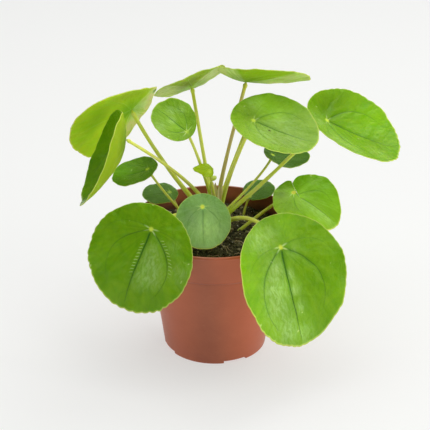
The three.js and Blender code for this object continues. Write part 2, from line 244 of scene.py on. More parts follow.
# %% Pot sizes
POT_HEIGHT = 100 * MM
RIM_RADIUS = 60 * MM
COLLAR_BOTTOM = 75 * MM
COLLAR_STEP = 1.7 * MM
COLLAR_TAPER = 0.5 * MM      # the collar is this much narrower below the rim's band
RIM_BAND = 2.0 * MM          # height of the thin raised band round the rim
BODY_TOP_RADIUS = 51.3 * MM
KNEE_RADIUS = 41 * MM
KNEE_HEIGHT = 24 * MM
FOOT_RADIUS = 37.8 * MM
FOOT_WIDTH = 5.3 * MM
FOOT_HEIGHT = 3 * MM
PAD_RADIUS = 9 * MM          # a round pad under the floor, level with the foot
WALL = 1.5 * MM
FLOOR = 2 * MM
FLOOR_TOP = FOOT_HEIGHT + FLOOR
POT_SIDES = 192


def body_radius(height):
    if height < KNEE_HEIGHT:
        return FOOT_RADIUS + (KNEE_RADIUS - FOOT_RADIUS) * height / KNEE_HEIGHT
    share = (height - KNEE_HEIGHT) / (COLLAR_BOTTOM - KNEE_HEIGHT)
    return KNEE_RADIUS + (BODY_TOP_RADIUS - KNEE_RADIUS) * share


def inner_radius(height):
    if height < COLLAR_BOTTOM:
        return body_radius(height) - WALL
    share = (height - COLLAR_BOTTOM) / (POT_HEIGHT - COLLAR_BOTTOM)
    return BODY_TOP_RADIUS - WALL + (RIM_RADIUS - BODY_TOP_RADIUS) * share


POT_SECTION = [              # radius, height and rounding, from the middle of the underside
    (0, 0, 0), (PAD_RADIUS, 0, 0.4 * MM), (PAD_RADIUS + 2 * MM, FOOT_HEIGHT, 0.5 * MM),
    (FOOT_RADIUS - FOOT_WIDTH, FOOT_HEIGHT, 0.5 * MM), (FOOT_RADIUS - FOOT_WIDTH, 0, 0.5 * MM),
    (FOOT_RADIUS, 0, 1.2 * MM), (KNEE_RADIUS, KNEE_HEIGHT, 6 * MM),
    (BODY_TOP_RADIUS - 0.1 * MM, COLLAR_BOTTOM - 1 * MM, 0.9 * MM),
    (BODY_TOP_RADIUS + COLLAR_STEP, COLLAR_BOTTOM + 0.2 * MM, 0.7 * MM),
    (RIM_RADIUS - COLLAR_TAPER, POT_HEIGHT - 2.6 * MM, 0.4 * MM),
    (RIM_RADIUS, POT_HEIGHT - RIM_BAND, 0.3 * MM),
    (RIM_RADIUS, POT_HEIGHT, 0.7 * MM), (RIM_RADIUS - WALL, POT_HEIGHT, 0.7 * MM),
    (inner_radius(COLLAR_BOTTOM), COLLAR_BOTTOM, 3 * MM),
    (inner_radius(KNEE_HEIGHT), KNEE_HEIGHT, 6 * MM),
    (inner_radius(FLOOR_TOP), FLOOR_TOP, 2 * MM), (0, FLOOR_TOP, 0),
]
print("pot section:", len(POT_SECTION), "corners")

# %% Pot skin
def rounded(section, steps=4):
    """The section with each corner replaced by a short curve."""
    points = []
    for index, (radius, height, rounding) in enumerate(section):
        corner = Vector((radius, height))
        if rounding == 0:
            points.append(corner)
            continue
        ends = []
        for neighbour in (section[index - 1], section[index + 1]):
            way = Vector(neighbour[:2]) - corner
            ends.append(corner + way.normalized() * min(rounding, way.length / 2.1))
        for step in range(steps + 1):
            t = step / steps
            points.append(ends[0] * (1 - t) ** 2 + corner * 2 * t * (1 - t) + ends[1] * t * t)
    return points


def circle(radius, height, sides):
    turns = [2 * math.pi * step / sides for step in range(sides)]
    return [(radius * math.cos(turn), radius * math.sin(turn), height) for turn in turns]


def turned(section, sides):
    """Points and faces of a section turned round the Z axis; its two ends are on the axis."""
    rings = section[1:-1]
    points = [(0, 0, section[0][1])]
    for radius, height in rings:
        points += circle(radius, height, sides)
    points.append((0, 0, section[-1][1]))
    top = len(points) - 1
    faces = []
    for step in range(sides):
        after = (step + 1) % sides
        faces.append((0, 1 + after, 1 + step))
        for ring in range(len(rings) - 1):
            a = 1 + ring * sides
            faces.append((a + step, a + after, a + sides + after, a + sides + step))
        a = 1 + (len(rings) - 1) * sides
        faces.append((a + step, a + after, top))
    return points, faces


pot_points, pot_faces = turned(rounded(POT_SECTION), POT_SIDES)
print("pot skin:", len(pot_points), "points")

# %% [markdown]
# ## Pot finish: filled polypropylene
#
# Pressed polypropylene is satin, with an index of refraction of 1.49. Handling and damp peat leave it
# a little uneven: cloudy patches a few centimetres wide, fine scuffs, a thin worn edge at the rim,
# and dark stains on the inside just above the soil. Painted shade darkens the corner under the
# collar, and the inside wall is painted lighter as painted light. The right side is painted a warmer,
# lighter tone as painted light, and the left edge as a painted highlight. First come the patterns and
# places, then a mask from each, then the colours coat by coat.

# %% Pot patterns and places
STAIN_LEVEL = 84 * MM        # the stain reaches this high, and higher where the clouds are pale
STAIN_RISE = 14 * MM

pot_material, tree = new_material("terracotta brown polypropylene")
place = add_node(tree, "ShaderNodeTexCoord").outputs["Object"]
height = add_node(tree, "ShaderNodeSeparateXYZ", inputs={0: place}).outputs["Z"]
stretched = add_node(tree, "ShaderNodeMapping", inputs={
    "Vector": place, "Scale": (160, 160, 1400)}).outputs["Vector"]
pattern = {"height": height}
for label, where, scale, detail, rough in (
        ("cloud", place, 34, 4, 0.6),          # patches about 30 mm across
        ("speck", place, 1250, 2, 0.5),        # filler grains about 0.8 mm across
        ("scuff", stretched, 1, 3, 0.7)):      # level scuffs under 1 mm high
    pattern[label] = add_node(tree, "ShaderNodeTexNoise", inputs={
        "Vector": where, "Scale": scale, "Detail": detail, "Roughness": rough}).outputs["Fac"]
# how far a point lies towards each side that is painted lighter: painted light on the right, a painted
# highlight along the left edge
for label, direction in (("window right", (0.8, -0.6, 0)), ("window left", (-1.0, -0.1, 0))):
    pattern[label] = add_node(tree, "ShaderNodeVectorMath", {"operation": "DOT_PRODUCT"}, {
        0: place, 1: direction}).outputs["Value"]
flat = add_node(tree, "ShaderNodeVectorMath", {"operation": "MULTIPLY"}, {0: place, 1: (1, 1, 0)})
from_axis = add_node(tree, "ShaderNodeVectorMath", {"operation": "LENGTH"}, {
    0: flat.outputs[0]}).outputs["Value"]
wall_slope = (RIM_RADIUS - BODY_TOP_RADIUS) / (POT_HEIGHT - COLLAR_BOTTOM)
wall_here = add_node(tree, "ShaderNodeMath", {"operation": "MULTIPLY_ADD"}, {
    0: height, 1: wall_slope, 2: RIM_RADIUS - 0.75 * WALL - wall_slope * POT_HEIGHT}).outputs[0]
stain_top = add_node(tree, "ShaderNodeMath", {"operation": "MULTIPLY_ADD"}, {
    0: pattern["cloud"], 1: STAIN_RISE, 2: STAIN_LEVEL}).outputs[0]
pattern["under stain"] = add_node(tree, "ShaderNodeMath", {"operation": "SUBTRACT"}, {
    0: stain_top, 1: height}).outputs[0]
# how far a point lies from the corner under the collar, which is painted darker as painted shade
from_corner = add_node(tree, "ShaderNodeMath", {"operation": "SUBTRACT"}, {
    0: height, 1: COLLAR_BOTTOM - 0.5 * MM}).outputs[0]
pattern["corner"] = add_node(tree, "ShaderNodeMath", {"operation": "ABSOLUTE"}, {
    0: from_corner}).outputs[0]
print("pot patterns:", list(pattern))

# %% Pot masks and colours
mask = {}                    # what each reads, its curve, where it starts and ends, and both values
for label, source, curve, start, end, first, last in (
        ("cloud", "cloud", "LINEAR", 0.32, 0.7, 0, 1),
        ("speck", "speck", "LINEAR", 0.58, 0.8, 0, 0.35),
        ("scuff", "scuff", "LINEAR", 0.6, 0.85, 0, 0.3),
        ("gloss", "scuff", "LINEAR", 0.3, 0.8, 0.38, 0.52),
        ("worn", "height", "SMOOTHSTEP", POT_HEIGHT - 0.9 * MM, POT_HEIGHT, 0, 0.45),
        # painted light on the right side and a painted highlight along the left edge
        ("faded right", "window right", "SMOOTHSTEP", 22 * MM, 48 * MM, 0, 0.6),
        ("faded left", "window left", "SMOOTHSTEP", 8 * MM, 36 * MM, 0, 0.4),
        # painted shade in the corner under the collar
        ("dust", "corner", "SMOOTHSTEP", 0.3 * MM, 2.2 * MM, 0.26, 0),
        ("stain", "under stain", "SMOOTHSTEP", -5 * MM, 3 * MM, 0, 0.75)):
    mask[label] = add_node(tree, "ShaderNodeMapRange", {"interpolation_type": curve}, {
        "Value": pattern[source], "From Min": start, "From Max": end, "To Min": first,
        "To Max": last}).outputs["Result"]
mask["inside"] = add_node(tree, "ShaderNodeMath", {"operation": "LESS_THAN"}, {
    0: from_axis, 1: wall_here}).outputs[0]
mask["in collar"] = add_node(tree, "ShaderNodeMath", {"operation": "GREATER_THAN"}, {
    0: height, 1: COLLAR_BOTTOM}).outputs[0]
for limit in ("inside", "in collar"):
    mask["stain"] = add_node(tree, "ShaderNodeMath", {"operation": "MULTIPLY"}, {
        0: mask["stain"], 1: mask[limit]}).outputs[0]
# the inside wall is painted lighter, as painted light
mask["inner wall"] = add_node(tree, "ShaderNodeMath", {"operation": "MULTIPLY"}, {
    0: mask["inside"], 1: 0.7}).outputs[0]

tone = linear(0xa65635)
for label, colour in (
        ("cloud", 0xb6633f), ("speck", 0x8a4733), ("scuff", 0xc98a70), ("worn", 0xd49a80),
        # the two lighter tones for the sides are painted light, and the dark tone after them is
        # painted shade under the collar
        ("faded right", 0xe8703f), ("faded left", 0xe8703f), ("dust", 0x6e3420),
        # the inside wall's lighter tone is painted light
        ("inner wall", 0xb46044), ("stain", 0x2e1a12)):
    tone = add_node(tree, "ShaderNodeMix", {"data_type": "RGBA"}, {
        0: mask[label], 6: tone, 7: linear(colour)}).outputs[2]
bump = add_node(tree, "ShaderNodeBump", inputs={
    "Height": pattern["speck"], "Strength": 0.12, "Distance": 0.12 * MM})
finish_material(tree, add_node(tree, "ShaderNodeBsdfPrincipled", inputs={
    "Base Color": tone, "Roughness": mask["gloss"], "IOR": 1.49,
    "Normal": bump.outputs["Normal"]}))
print("pot material nodes:", len(tree.nodes))

# %% [markdown]
# ## Slots and drain holes
#
# A pot stands in a saucer, so water leaves by six holes in the floor and by four slots through the
# foot ring. Each is cut with a Boolean modifier, whose result is kept as a plain mesh; the modifiers
# and the cutters are then dropped.

# %% Shapes that cut
SLOT_ANGLES = (-66, 24, 114, 204)
SLOT_SPAN = 28               # degrees
SLOT_HEIGHT = 2.4 * MM
SLOT_STEPS = 8
DRAIN_RADIUS = 3.5 * MM
DRAIN_CIRCLE = 23 * MM
DRAIN_HOLES = 6
DRAIN_SIDES = 32
CUT_PAST = 1 * MM            # a cutter reaches this far past the skin


def sector(angle, low, high, near, reach):
    """Points and faces of a ring sector, for cutting a slot."""
    turns = [math.radians(angle + SLOT_SPAN * (step / SLOT_STEPS - 0.5))
             for step in range(SLOT_STEPS + 1)]
    points = [(radius * math.cos(t), radius * math.sin(t), level)
              for level in (low, high) for radius in (near, reach) for t in turns]
    row = SLOT_STEPS + 1     # the rows of points: low near, low far, high near, high far
    faces = []
    for a in range(SLOT_STEPS):
        b = a + 1
        faces += [(a, b, row + b, row + a), (2 * row + a, 3 * row + a, 3 * row + b, 2 * row + b),
                  (a, 2 * row + a, 2 * row + b, b), (row + a, row + b, 3 * row + b, 3 * row + a)]
    end = SLOT_STEPS
    faces += [(0, row, 3 * row, 2 * row), (end, 2 * row + end, 3 * row + end, row + end)]
    return points, faces


cutters = []
for angle in SLOT_ANGLES:
    cutters.append(new_object("slot_cut", new_mesh("slot_cut", *sector(
        angle, -CUT_PAST, SLOT_HEIGHT, FOOT_RADIUS / 2, FOOT_RADIUS * 1.3))))
hole_section = [(0, -CUT_PAST), (DRAIN_RADIUS, -CUT_PAST), (DRAIN_RADIUS, FLOOR_TOP + CUT_PAST),
                (0, FLOOR_TOP + CUT_PAST)]
hole_points, hole_faces = turned(hole_section, DRAIN_SIDES)
for x, y, _ in circle(DRAIN_CIRCLE, 0, DRAIN_HOLES):
    moved = [Vector(point) + Vector((x, y, 0)) for point in hole_points]
    cutters.append(new_object("drain_cut", new_mesh("drain_cut", moved, hole_faces)))
print("cutters:", len(cutters))

# %% Cut the pot
SHARP_ANGLE = 40             # degrees; an edge that turns more stays crisp

blank = new_object("pot blank", new_mesh("pot blank", pot_points, pot_faces))
for cut in cutters:
    modifier = blank.modifiers.new(cut.name, "BOOLEAN")
    modifier.operation = "DIFFERENCE"
    modifier.solver = "EXACT"
    modifier.object = cut
pot_mesh = bpy.data.meshes.new_from_object(
    blank.evaluated_get(bpy.context.evaluated_depsgraph_get()))
pot_mesh.name = "nursery_pot"
for made in [blank, *cutters]:
    bpy.data.objects.remove(made)
pot_mesh.materials.clear()
pot_mesh.materials.append(pot_material)
pot_mesh.polygons.foreach_set("use_smooth", [True] * len(pot_mesh.polygons))
pot_mesh.set_sharp_from_angle(angle=math.radians(SHARP_ANGLE))
pot = new_object("nursery_pot", pot_mesh)
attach(pot, "root")
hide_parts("pot")
print("pot faces after cutting:", len(pot_mesh.polygons))

# %% [markdown]
# ## The soil
#
# Potting soil is fibrous peat with crumbs, bark chips and a few white grains of perlite. A closed
# body with a lumpy top fills the pot: rings of points up the wall, then rings that close in towards
# the middle, each point lifted by a few sine waves.

# %% Soil body
SOIL_LEVEL = 88 * MM
SOIL_GAP = 0.3 * MM          # between the soil and the wall
SOIL_SIDES = 120
SOIL_RINGS = 46              # on the top
SOIL_SHOULDER = 1.6 * MM     # from the wall's last ring up to the soil's level
BROAD_LUMPS = 0.7 * MM
SMALL_LUMPS = 0.32 * MM


def soil_surface(x, y):
    """Height of the soil's lumpy top at x and y."""
    x, y = x / MM, y / MM
    broad = np.sin(0.31 * x + 1.3) * np.cos(0.27 * y + 0.4) + 0.6 * np.sin(0.53 * x - 0.41 * y)
    small = (np.sin(1.3 * x + 0.9 * y) * np.sin(1.1 * y - 0.7 * x + 2)
             + np.sin(2.1 * x + 0.4) * np.cos(1.9 * y))
    return SOIL_LEVEL + BROAD_LUMPS * broad + SMALL_LUMPS * small


edge_radius = inner_radius(SOIL_LEVEL) - SOIL_GAP
wall_heights = (FLOOR_TOP + SOIL_GAP, KNEE_HEIGHT, COLLAR_BOTTOM, SOIL_LEVEL - SOIL_SHOULDER)
soil_points = []
for height in wall_heights:
    soil_points += circle(inner_radius(height) - SOIL_GAP, height, SOIL_SIDES)
for ring in range(SOIL_RINGS, 0, -1):
    ring_points = circle(edge_radius * (ring - 0.5) / SOIL_RINGS, 0, SOIL_SIDES)
    soil_points += [(x, y, float(soil_surface(x, y))) for x, y, _ in ring_points]
soil_faces = closed_rings(len(wall_heights) + SOIL_RINGS, SOIL_SIDES)
print("soil:", len(soil_points), "points")

# %% [markdown]
# ## Soil finish: damp peat
#
# Damp peat is nearly black and dull, broken by brown fibres and paler dry crumbs a millimetre or two
# across. The grains share its colours, and each grain carries a random shade.

# %% Soil and grain materials
def peat_material(name, dark, brown, pale, pale_from, shade=False):
    """Damp peat: dark with brown fibre and pale crumbs. With shade, a grain's own shade counts."""
    material, tree = new_material(name)
    place = add_node(tree, "ShaderNodeTexCoord").outputs["Object"]
    crumb = add_node(tree, "ShaderNodeTexNoise", inputs={    # crumbs about 2 mm across
        "Vector": place, "Scale": 520, "Detail": 5, "Roughness": 0.65}).outputs["Fac"]
    fibre_place = add_node(tree, "ShaderNodeMapping", inputs={
        "Vector": place, "Rotation": (0, 0, 0.6), "Scale": (260, 1500, 900)}).outputs["Vector"]
    pale_value = add_node(tree, "ShaderNodeTexNoise", inputs={   # fibres under 1 mm wide
        "Vector": fibre_place, "Scale": 1, "Detail": 3, "Distortion": 1.2}).outputs["Fac"]
    if shade:
        own = add_node(tree, "ShaderNodeAttribute", {"attribute_name": "shade"}).outputs["Fac"]
        half = add_node(tree, "ShaderNodeMath", {"operation": "MULTIPLY"}, {0: pale_value, 1: 0.5})
        pale_value = add_node(tree, "ShaderNodeMath", {"operation": "MULTIPLY_ADD"}, {
            0: own, 1: 0.6, 2: half.outputs[0]}).outputs[0]
    tone = linear(dark)
    for value, start, end, most, colour in (
            (crumb, 0.42, 0.72, 1, brown), (pale_value, pale_from, pale_from + 0.16, 0.85, pale)):
        share = add_node(tree, "ShaderNodeMapRange", inputs={
            "Value": value, "From Min": start, "From Max": end, "To Max": most}).outputs["Result"]
        tone = add_node(tree, "ShaderNodeMix", {"data_type": "RGBA"}, {
            0: share, 6: tone, 7: linear(colour)}).outputs[2]
    bump = add_node(tree, "ShaderNodeBump", inputs={
        "Height": crumb, "Strength": 0.9, "Distance": 1.0 * MM})
    finish_material(tree, add_node(tree, "ShaderNodeBsdfPrincipled", inputs={
        "Base Color": tone, "Roughness": 0.85, "Specular IOR Level": 0.35,
        "Normal": bump.outputs["Normal"]}))
    return material


soil_material = peat_material("damp peat", 0x22200e, 0x746c44, 0x9a8c60, 0.6)
grain_material = peat_material("peat crumbs", 0x2e2c16, 0x5c5430, 0xc4b88e, 0.6, shade=True)
perlite_material = peat_material("perlite grains", 0xb9b09e, 0xd2cabb, 0xe6dfd2, 0.5, shade=True)
chip_material = peat_material("bark chips", 0x463820, 0x6c5634, 0xa48c60, 0.6, shade=True)

soil = new_piece("soil_body", soil_points, soil_faces, soil_material, ["soil"])
print("soil faces:", len(soil.data.polygons))

# %% [markdown]
# ## Loose grains
#
# Loose crumbs, chips and perlite catch the light on top of the soil. Scattering them by hand would
# take thousands of steps, so a geometry tree does it: it spreads points on a surface, puts one rough
# grain on each with its own size and turn, stores a shade with it, and realizes them as one mesh.

# %% The tree that scatters grains
def grain_tree():
    """Scatters rough grains on a surface; its inputs set how many, how large, how flat and which."""
    tree = bpy.data.node_groups.new("scatter grains", "GeometryNodeTree")
    face = tree.interface
    for label, kind, value in (("Geometry", "NodeSocketGeometry", None),
                               ("Per square metre", "NodeSocketFloat", 1e5),
                               ("Smallest", "NodeSocketFloat", 0.5 * MM),
                               ("Largest", "NodeSocketFloat", 2 * MM),
                               ("Shape", "NodeSocketVector", (1, 1, 1)),
                               ("Seed", "NodeSocketInt", 1),
                               ("Finish", "NodeSocketMaterial", None)):
        socket = face.new_socket(label, in_out="INPUT", socket_type=kind)
        if value is not None:
            socket.default_value = value
    face.new_socket("Geometry", in_out="OUTPUT", socket_type="NodeSocketGeometry")
    given = add_node(tree, "NodeGroupInput").outputs
    spread = add_node(tree, "GeometryNodeDistributePointsOnFaces", inputs={
        "Mesh": given["Geometry"], "Density": given["Per square metre"], "Seed": given["Seed"]})

    # one grain: a ball of diameter 1, pushed in and out by a noise
    ball = add_node(tree, "GeometryNodeMeshIcoSphere", inputs={"Radius": 0.5, "Subdivisions": 2})
    rough = add_node(tree, "ShaderNodeTexNoise", inputs={"Scale": 2.4, "Detail": 1.0})
    either_way = add_node(tree, "ShaderNodeVectorMath", {"operation": "SUBTRACT"}, {
        0: rough.outputs["Color"], 1: (0.5, 0.5, 0.5)})
    push = add_node(tree, "ShaderNodeVectorMath", {"operation": "SCALE"}, {
        0: either_way.outputs[0], "Scale": 1.3})
    grain = add_node(tree, "GeometryNodeSetPosition", inputs={
        "Geometry": ball.outputs["Mesh"], "Offset": push.outputs[0]})

    # its turn and its size; the power makes small grains the common ones
    turn = add_node(tree, "FunctionNodeRandomValue", {"data_type": "FLOAT_VECTOR"}, {
        0: (-0.5, -0.5, 0), 1: (0.5, 0.5, 2 * math.pi), "Seed": given["Seed"]})
    chance = add_node(tree, "FunctionNodeRandomValue", {"data_type": "FLOAT"}, {
        2: 0.0, 3: 1.0, "Seed": given["Seed"]})
    rarer = add_node(tree, "ShaderNodeMath", {"operation": "POWER"}, {
        0: chance.outputs[1], 1: 2.5})
    reach = add_node(tree, "ShaderNodeMapRange", inputs={
        "Value": rarer.outputs[0], "To Min": given["Smallest"], "To Max": given["Largest"]})
    size = add_node(tree, "ShaderNodeVectorMath", {"operation": "SCALE"}, {
        0: given["Shape"], "Scale": reach.outputs["Result"]})
    placed = add_node(tree, "GeometryNodeInstanceOnPoints", inputs={
        "Points": spread.outputs["Points"], "Instance": grain.outputs["Geometry"],
        "Rotation": turn.outputs[0], "Scale": size.outputs[0]})

    own_shade = add_node(tree, "FunctionNodeRandomValue", {"data_type": "FLOAT"}, {
        2: 0.0, 3: 1.0, "Seed": 7})
    settings = {"data_type": "FLOAT", "domain": "INSTANCE"}
    shaded = add_node(tree, "GeometryNodeStoreNamedAttribute", settings, {
        "Geometry": placed.outputs["Instances"], "Name": "shade", "Value": own_shade.outputs[1]})
    real = add_node(tree, "GeometryNodeRealizeInstances", inputs={
        "Geometry": shaded.outputs["Geometry"]})
    done = add_node(tree, "GeometryNodeSetMaterial", inputs={
        "Geometry": real.outputs["Geometry"], "Material": given["Finish"]})
    add_node(tree, "NodeGroupOutput", inputs={"Geometry": done.outputs["Geometry"]})
    return tree


scatter = grain_tree()
identifiers = {item.name: item.identifier for item in scatter.interface.items_tree
               if item.item_type == "SOCKET" and item.in_out == "INPUT"}
print("grain tree inputs:", list(identifiers))

# %% The bed that carries the grains
BED_SQUARES = 64             # along each side of the bed
BED_MARGIN = 2.2 * MM        # kept free of grains along the wall

bed_points = []
for row in range(BED_SQUARES + 1):
    for column in range(BED_SQUARES + 1):
        x, y = ((v / BED_SQUARES - 0.5) * 2 * edge_radius for v in (column, row))
        bed_points.append((x, y, float(soil_surface(x, y))))
bed_faces = []
for row in range(BED_SQUARES):
    for column in range(BED_SQUARES):
        middle = Vector([(v + 0.5) / BED_SQUARES - 0.5 for v in (column, row)]) * 2 * edge_radius
        if middle.length < edge_radius - BED_MARGIN:
            a = row * (BED_SQUARES + 1) + column
            b = a + BED_SQUARES + 1
            bed_faces.append((a, a + 1, b + 1, b))
print("bed squares:", len(bed_faces))

# %% Scatter crumbs, chips and perlite
GRAINS = {                   # per square metre, smallest, largest, shape, seed, finish
    "peat_crumbs": (150000, 0.7 * MM, 3.4 * MM, (1.0, 0.8, 0.7), 3, grain_material),
    "bark_chips": (13000, 1.6 * MM, 6.0 * MM, (1.0, 0.32, 0.22), 5, chip_material),
    "perlite": (22000, 0.5 * MM, 1.3 * MM, (1.0, 0.9, 0.8), 11, perlite_material),
}
GRAIN_INPUTS = ("Per square metre", "Smallest", "Largest", "Shape", "Seed", "Finish")
for name, values in GRAINS.items():
    bed = new_object("bed", new_mesh("bed", bed_points, bed_faces))
    modifier = bed.modifiers.new("grains", "NODES")
    modifier.node_group = scatter
    for label, value in zip(GRAIN_INPUTS, values):
        modifier[identifiers[label]] = value
    mesh = bpy.data.meshes.new_from_object(bed.evaluated_get(bpy.context.evaluated_depsgraph_get()))
    bpy.data.objects.remove(bed)
    mesh.name = name
    mesh.polygons.foreach_set("use_smooth", [name == "peat_crumbs"] * len(mesh.polygons))
    grains = new_object(name, mesh)
    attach(grains, "root")
    print(name, len(mesh.polygons), "faces")

# %% [markdown]
# ## Fine roots
#
# Watering bares a few thread-like roots, most of them near the front. A bare root is dull and straw
# coloured, with darker patches. Each is a thin tube bent along a few points that rest on the soil,
# and it dips into the soil at both ends.

# %% Root threads
ROOT_STEPS = 8               # rings of points for each point of a root's way
ROOT_BLEND = 7               # points that are averaged to round the corners

root_material, tree = new_material("bare root")
place = add_node(tree, "ShaderNodeTexCoord").outputs["Object"]
patch = add_node(tree, "ShaderNodeTexNoise", inputs={      # patches about 2 mm long
    "Vector": place, "Scale": 500, "Detail": 2})
tone = add_node(tree, "ShaderNodeMix", {"data_type": "RGBA"}, {
    0: patch.outputs["Fac"], 6: linear(0x9a7c50), 7: linear(0xe6d3ab)}).outputs[2]
finish_material(tree, add_node(tree, "ShaderNodeBsdfPrincipled", inputs={
    "Base Color": tone, "Roughness": 0.6}))

ROOTS_MM = (                 # radius, then x, y points on the soil
    (0.26, [(6, -6), (5, -9), (5.6, -13), (4.6, -18), (7.5, -23), (9, -29), (12, -33)]),
    (0.2, [(5, -17), (8, -20), (10, -25), (14, -27)]),
    (0.3, [(13, -33), (16, -31.5), (19, -31), (21, -33.5), (20, -36)]),
    (0.3, [(14, -14), (17, -12), (21, -13), (23, -17)]),
    (0.26, [(-6, -34), (-2, -36), (2, -34), (5, -37)]),
    (0.3, [(24, 16), (29, 14), (33, 17), (38, 15)]),
    (0.28, [(-30, 12), (-34, 8), (-33, 2), (-37, -2)]),
    (0.3, [(-12, 30), (-8, 34), (-2, 33), (3, 37)]),
)
for number, (radius, way) in enumerate(ROOTS_MM):
    way = np.array(way, float) * MM
    shares = np.linspace(0, len(way) - 1, ROOT_STEPS * len(way))
    x, y = (np.interp(shares, range(len(way)), way[:, axis]) for axis in (0, 1))
    kernel, keep = np.ones(ROOT_BLEND) / ROOT_BLEND, ROOT_BLEND // 2
    for values in (x, y):
        values[keep:-keep] = np.convolve(values, kernel, "valid")
    middle = np.sin(np.pi * np.linspace(0, 1, len(x))) ** 0.4       # 0 at both ends
    z = soil_surface(x, y) + (1.5 * middle - 0.6) * MM
    points, faces, _, _ = tube(np.stack([x, y, z], 1), radius * MM * (0.35 + 0.65 * middle), 8)
    new_piece(f"root_thread_{number}", points, faces, root_material, [])
print("root threads:", len(ROOTS_MM))

# %% [markdown]
# ## The stem
#
# The short stem is corky, with a ring where each old leaf fell: green skin with patches of brown
# cork, dull and a little rough. It is one tube whose radius swells and pinches once for each ring and
# closes over the tip.

# %% Stem
STEM_X = 1 * MM
STEM_BOTTOM = 70 * MM
STEM_TOP = 116 * MM
STEM_RADIUS = 6.2 * MM       # at the soil
STEM_TAPER = 1.7 * MM
RING_SPACING = 3.6 * MM
RING_DEPTH = 0.035           # share of the radius
STEM_TIP = (0.97, 0.92, 0.84, 0.72, 0.55, 0.3)      # the last rings close in

stem_material, tree = new_material("corky green stem")
place = add_node(tree, "ShaderNodeTexCoord").outputs["Object"]
cork_place = add_node(tree, "ShaderNodeMapping", inputs={
    "Vector": place, "Scale": (500, 500, 1500)}).outputs["Vector"]
cork = add_node(tree, "ShaderNodeTexNoise", inputs={        # level patches about 2 mm long
    "Vector": cork_place, "Scale": 1, "Detail": 4, "Roughness": 0.7}).outputs["Fac"]
cork_share = add_node(tree, "ShaderNodeMapRange", inputs={
    "Value": cork, "From Min": 0.4, "From Max": 0.65}).outputs["Result"]
tone = add_node(tree, "ShaderNodeMix", {"data_type": "RGBA"}, {
    0: cork_share, 6: linear(0x8ca82c), 7: linear(0x947c42)}).outputs[2]
bump = add_node(tree, "ShaderNodeBump", inputs={
    "Height": cork, "Strength": 0.7, "Distance": 0.5 * MM})
finish_material(tree, add_node(tree, "ShaderNodeBsdfPrincipled", inputs={
    "Base Color": tone, "Roughness": 0.65, "Normal": bump.outputs["Normal"]}))

heights = np.linspace(STEM_BOTTOM, STEM_TOP, 70)
share = np.clip((heights - SOIL_LEVEL) / (STEM_TOP - SOIL_LEVEL), 0, 1)
radii = STEM_RADIUS - STEM_TAPER * share
radii *= 1 + RING_DEPTH * np.cos(heights * 2 * np.pi / RING_SPACING)
radii[-len(STEM_TIP):] *= STEM_TIP
centres = np.stack([np.full_like(heights, STEM_X), np.zeros_like(heights), heights], 1)
points, faces, _, _ = tube(centres, radii, sides=40, ribs=0.03, rib_count=7)
new_piece("rooted_stem", points, faces, stem_material, ["main_stem"])
print("stem height above the soil, mm:", round((STEM_TOP - SOIL_LEVEL) / MM))

# %% [markdown]
# ## The scales at the tip
#
# Thin dry scales, the stipules, stand round the growing tip. They are papery: pale straw with lighter
# streaks along them, dull, and thin enough for light to pass. Each scale is a thin shell, curved
# across like a gutter and pointed; most stand in two whorls, and three tall ones stand in front.

# %% Scale finish
scale_material, tree = new_material("dry papery scale")
grain = add_node(tree, "ShaderNodeAttribute", {"attribute_name": "grain"}).outputs["Vector"]
streak_place = add_node(tree, "ShaderNodeMapping", inputs={
    "Vector": grain, "Scale": (9, 1.2, 1)}).outputs["Vector"]
streak = add_node(tree, "ShaderNodeTexNoise", inputs={      # streaks about 0.3 mm wide
    "Vector": streak_place, "Scale": 1, "Detail": 3}).outputs["Fac"]
streak_share = add_node(tree, "ShaderNodeMapRange", inputs={
    "Value": streak, "From Min": 0.35, "From Max": 0.65}).outputs["Result"]
tone = add_node(tree, "ShaderNodeMix", {"data_type": "RGBA"}, {
    0: streak_share, 6: linear(0xe8c878), 7: linear(0xffffd8)}).outputs[2]
finish_material(tree, add_node(tree, "ShaderNodeBsdfPrincipled", inputs={
    "Base Color": tone, "Roughness": 0.6, "Subsurface Weight": 0.3,
    "Subsurface Radius": (1.0, 0.5, 0.3), "Subsurface Scale": 0.8 * MM}))
print("scale material nodes:", len(tree.nodes))

# %% One scale
SCALE_ROWS = 14              # squares along a scale
SCALE_COLUMNS = 8            # squares across it
SCALE_THICK = 0.22 * MM
SCALE_GUTTER = 0.55          # how much its edges curve outwards
SCALE_BEND = 0.9 * MM        # how far its tip bends outwards


def scale_sheet(length, width, lift):
    """One face of a pointed scale that stands on the Z axis."""
    points = []
    for row in range(SCALE_ROWS + 1):
        t = row / SCALE_ROWS
        half = width / 2 * (1 - t) ** 0.7 * (0.75 + 0.8 * t)
        for column in range(SCALE_COLUMNS + 1):
            u = 2 * column / SCALE_COLUMNS - 1
            out = SCALE_GUTTER * half * u * u - lift + SCALE_BEND * t * t
            points.append((out, half * u, length * t))
    return points


def scale_faces():
    """The faces of both sheets of a scale and of the rim that joins them."""
    row = SCALE_COLUMNS + 1
    sheet = (SCALE_ROWS + 1) * row
    faces = []
    for level in range(SCALE_ROWS):
        for column in range(SCALE_COLUMNS):
            a = level * row + column
            b = a + row
            faces.append((a, a + 1, b + 1, b))
            faces.append((sheet + a, sheet + b, sheet + b + 1, sheet + a + 1))
    top = SCALE_ROWS * row
    rim = [level * row for level in range(SCALE_ROWS + 1)]
    rim += [top + column for column in range(1, row)]
    rim += [level * row + SCALE_COLUMNS for level in range(SCALE_ROWS - 1, -1, -1)]
    rim += list(range(SCALE_COLUMNS - 1, 0, -1))
    return faces + [(here, after, sheet + after, sheet + here)
                    for here, after in zip(rim, rim[1:] + rim[:1])]


print("faces of one scale:", len(scale_faces()))

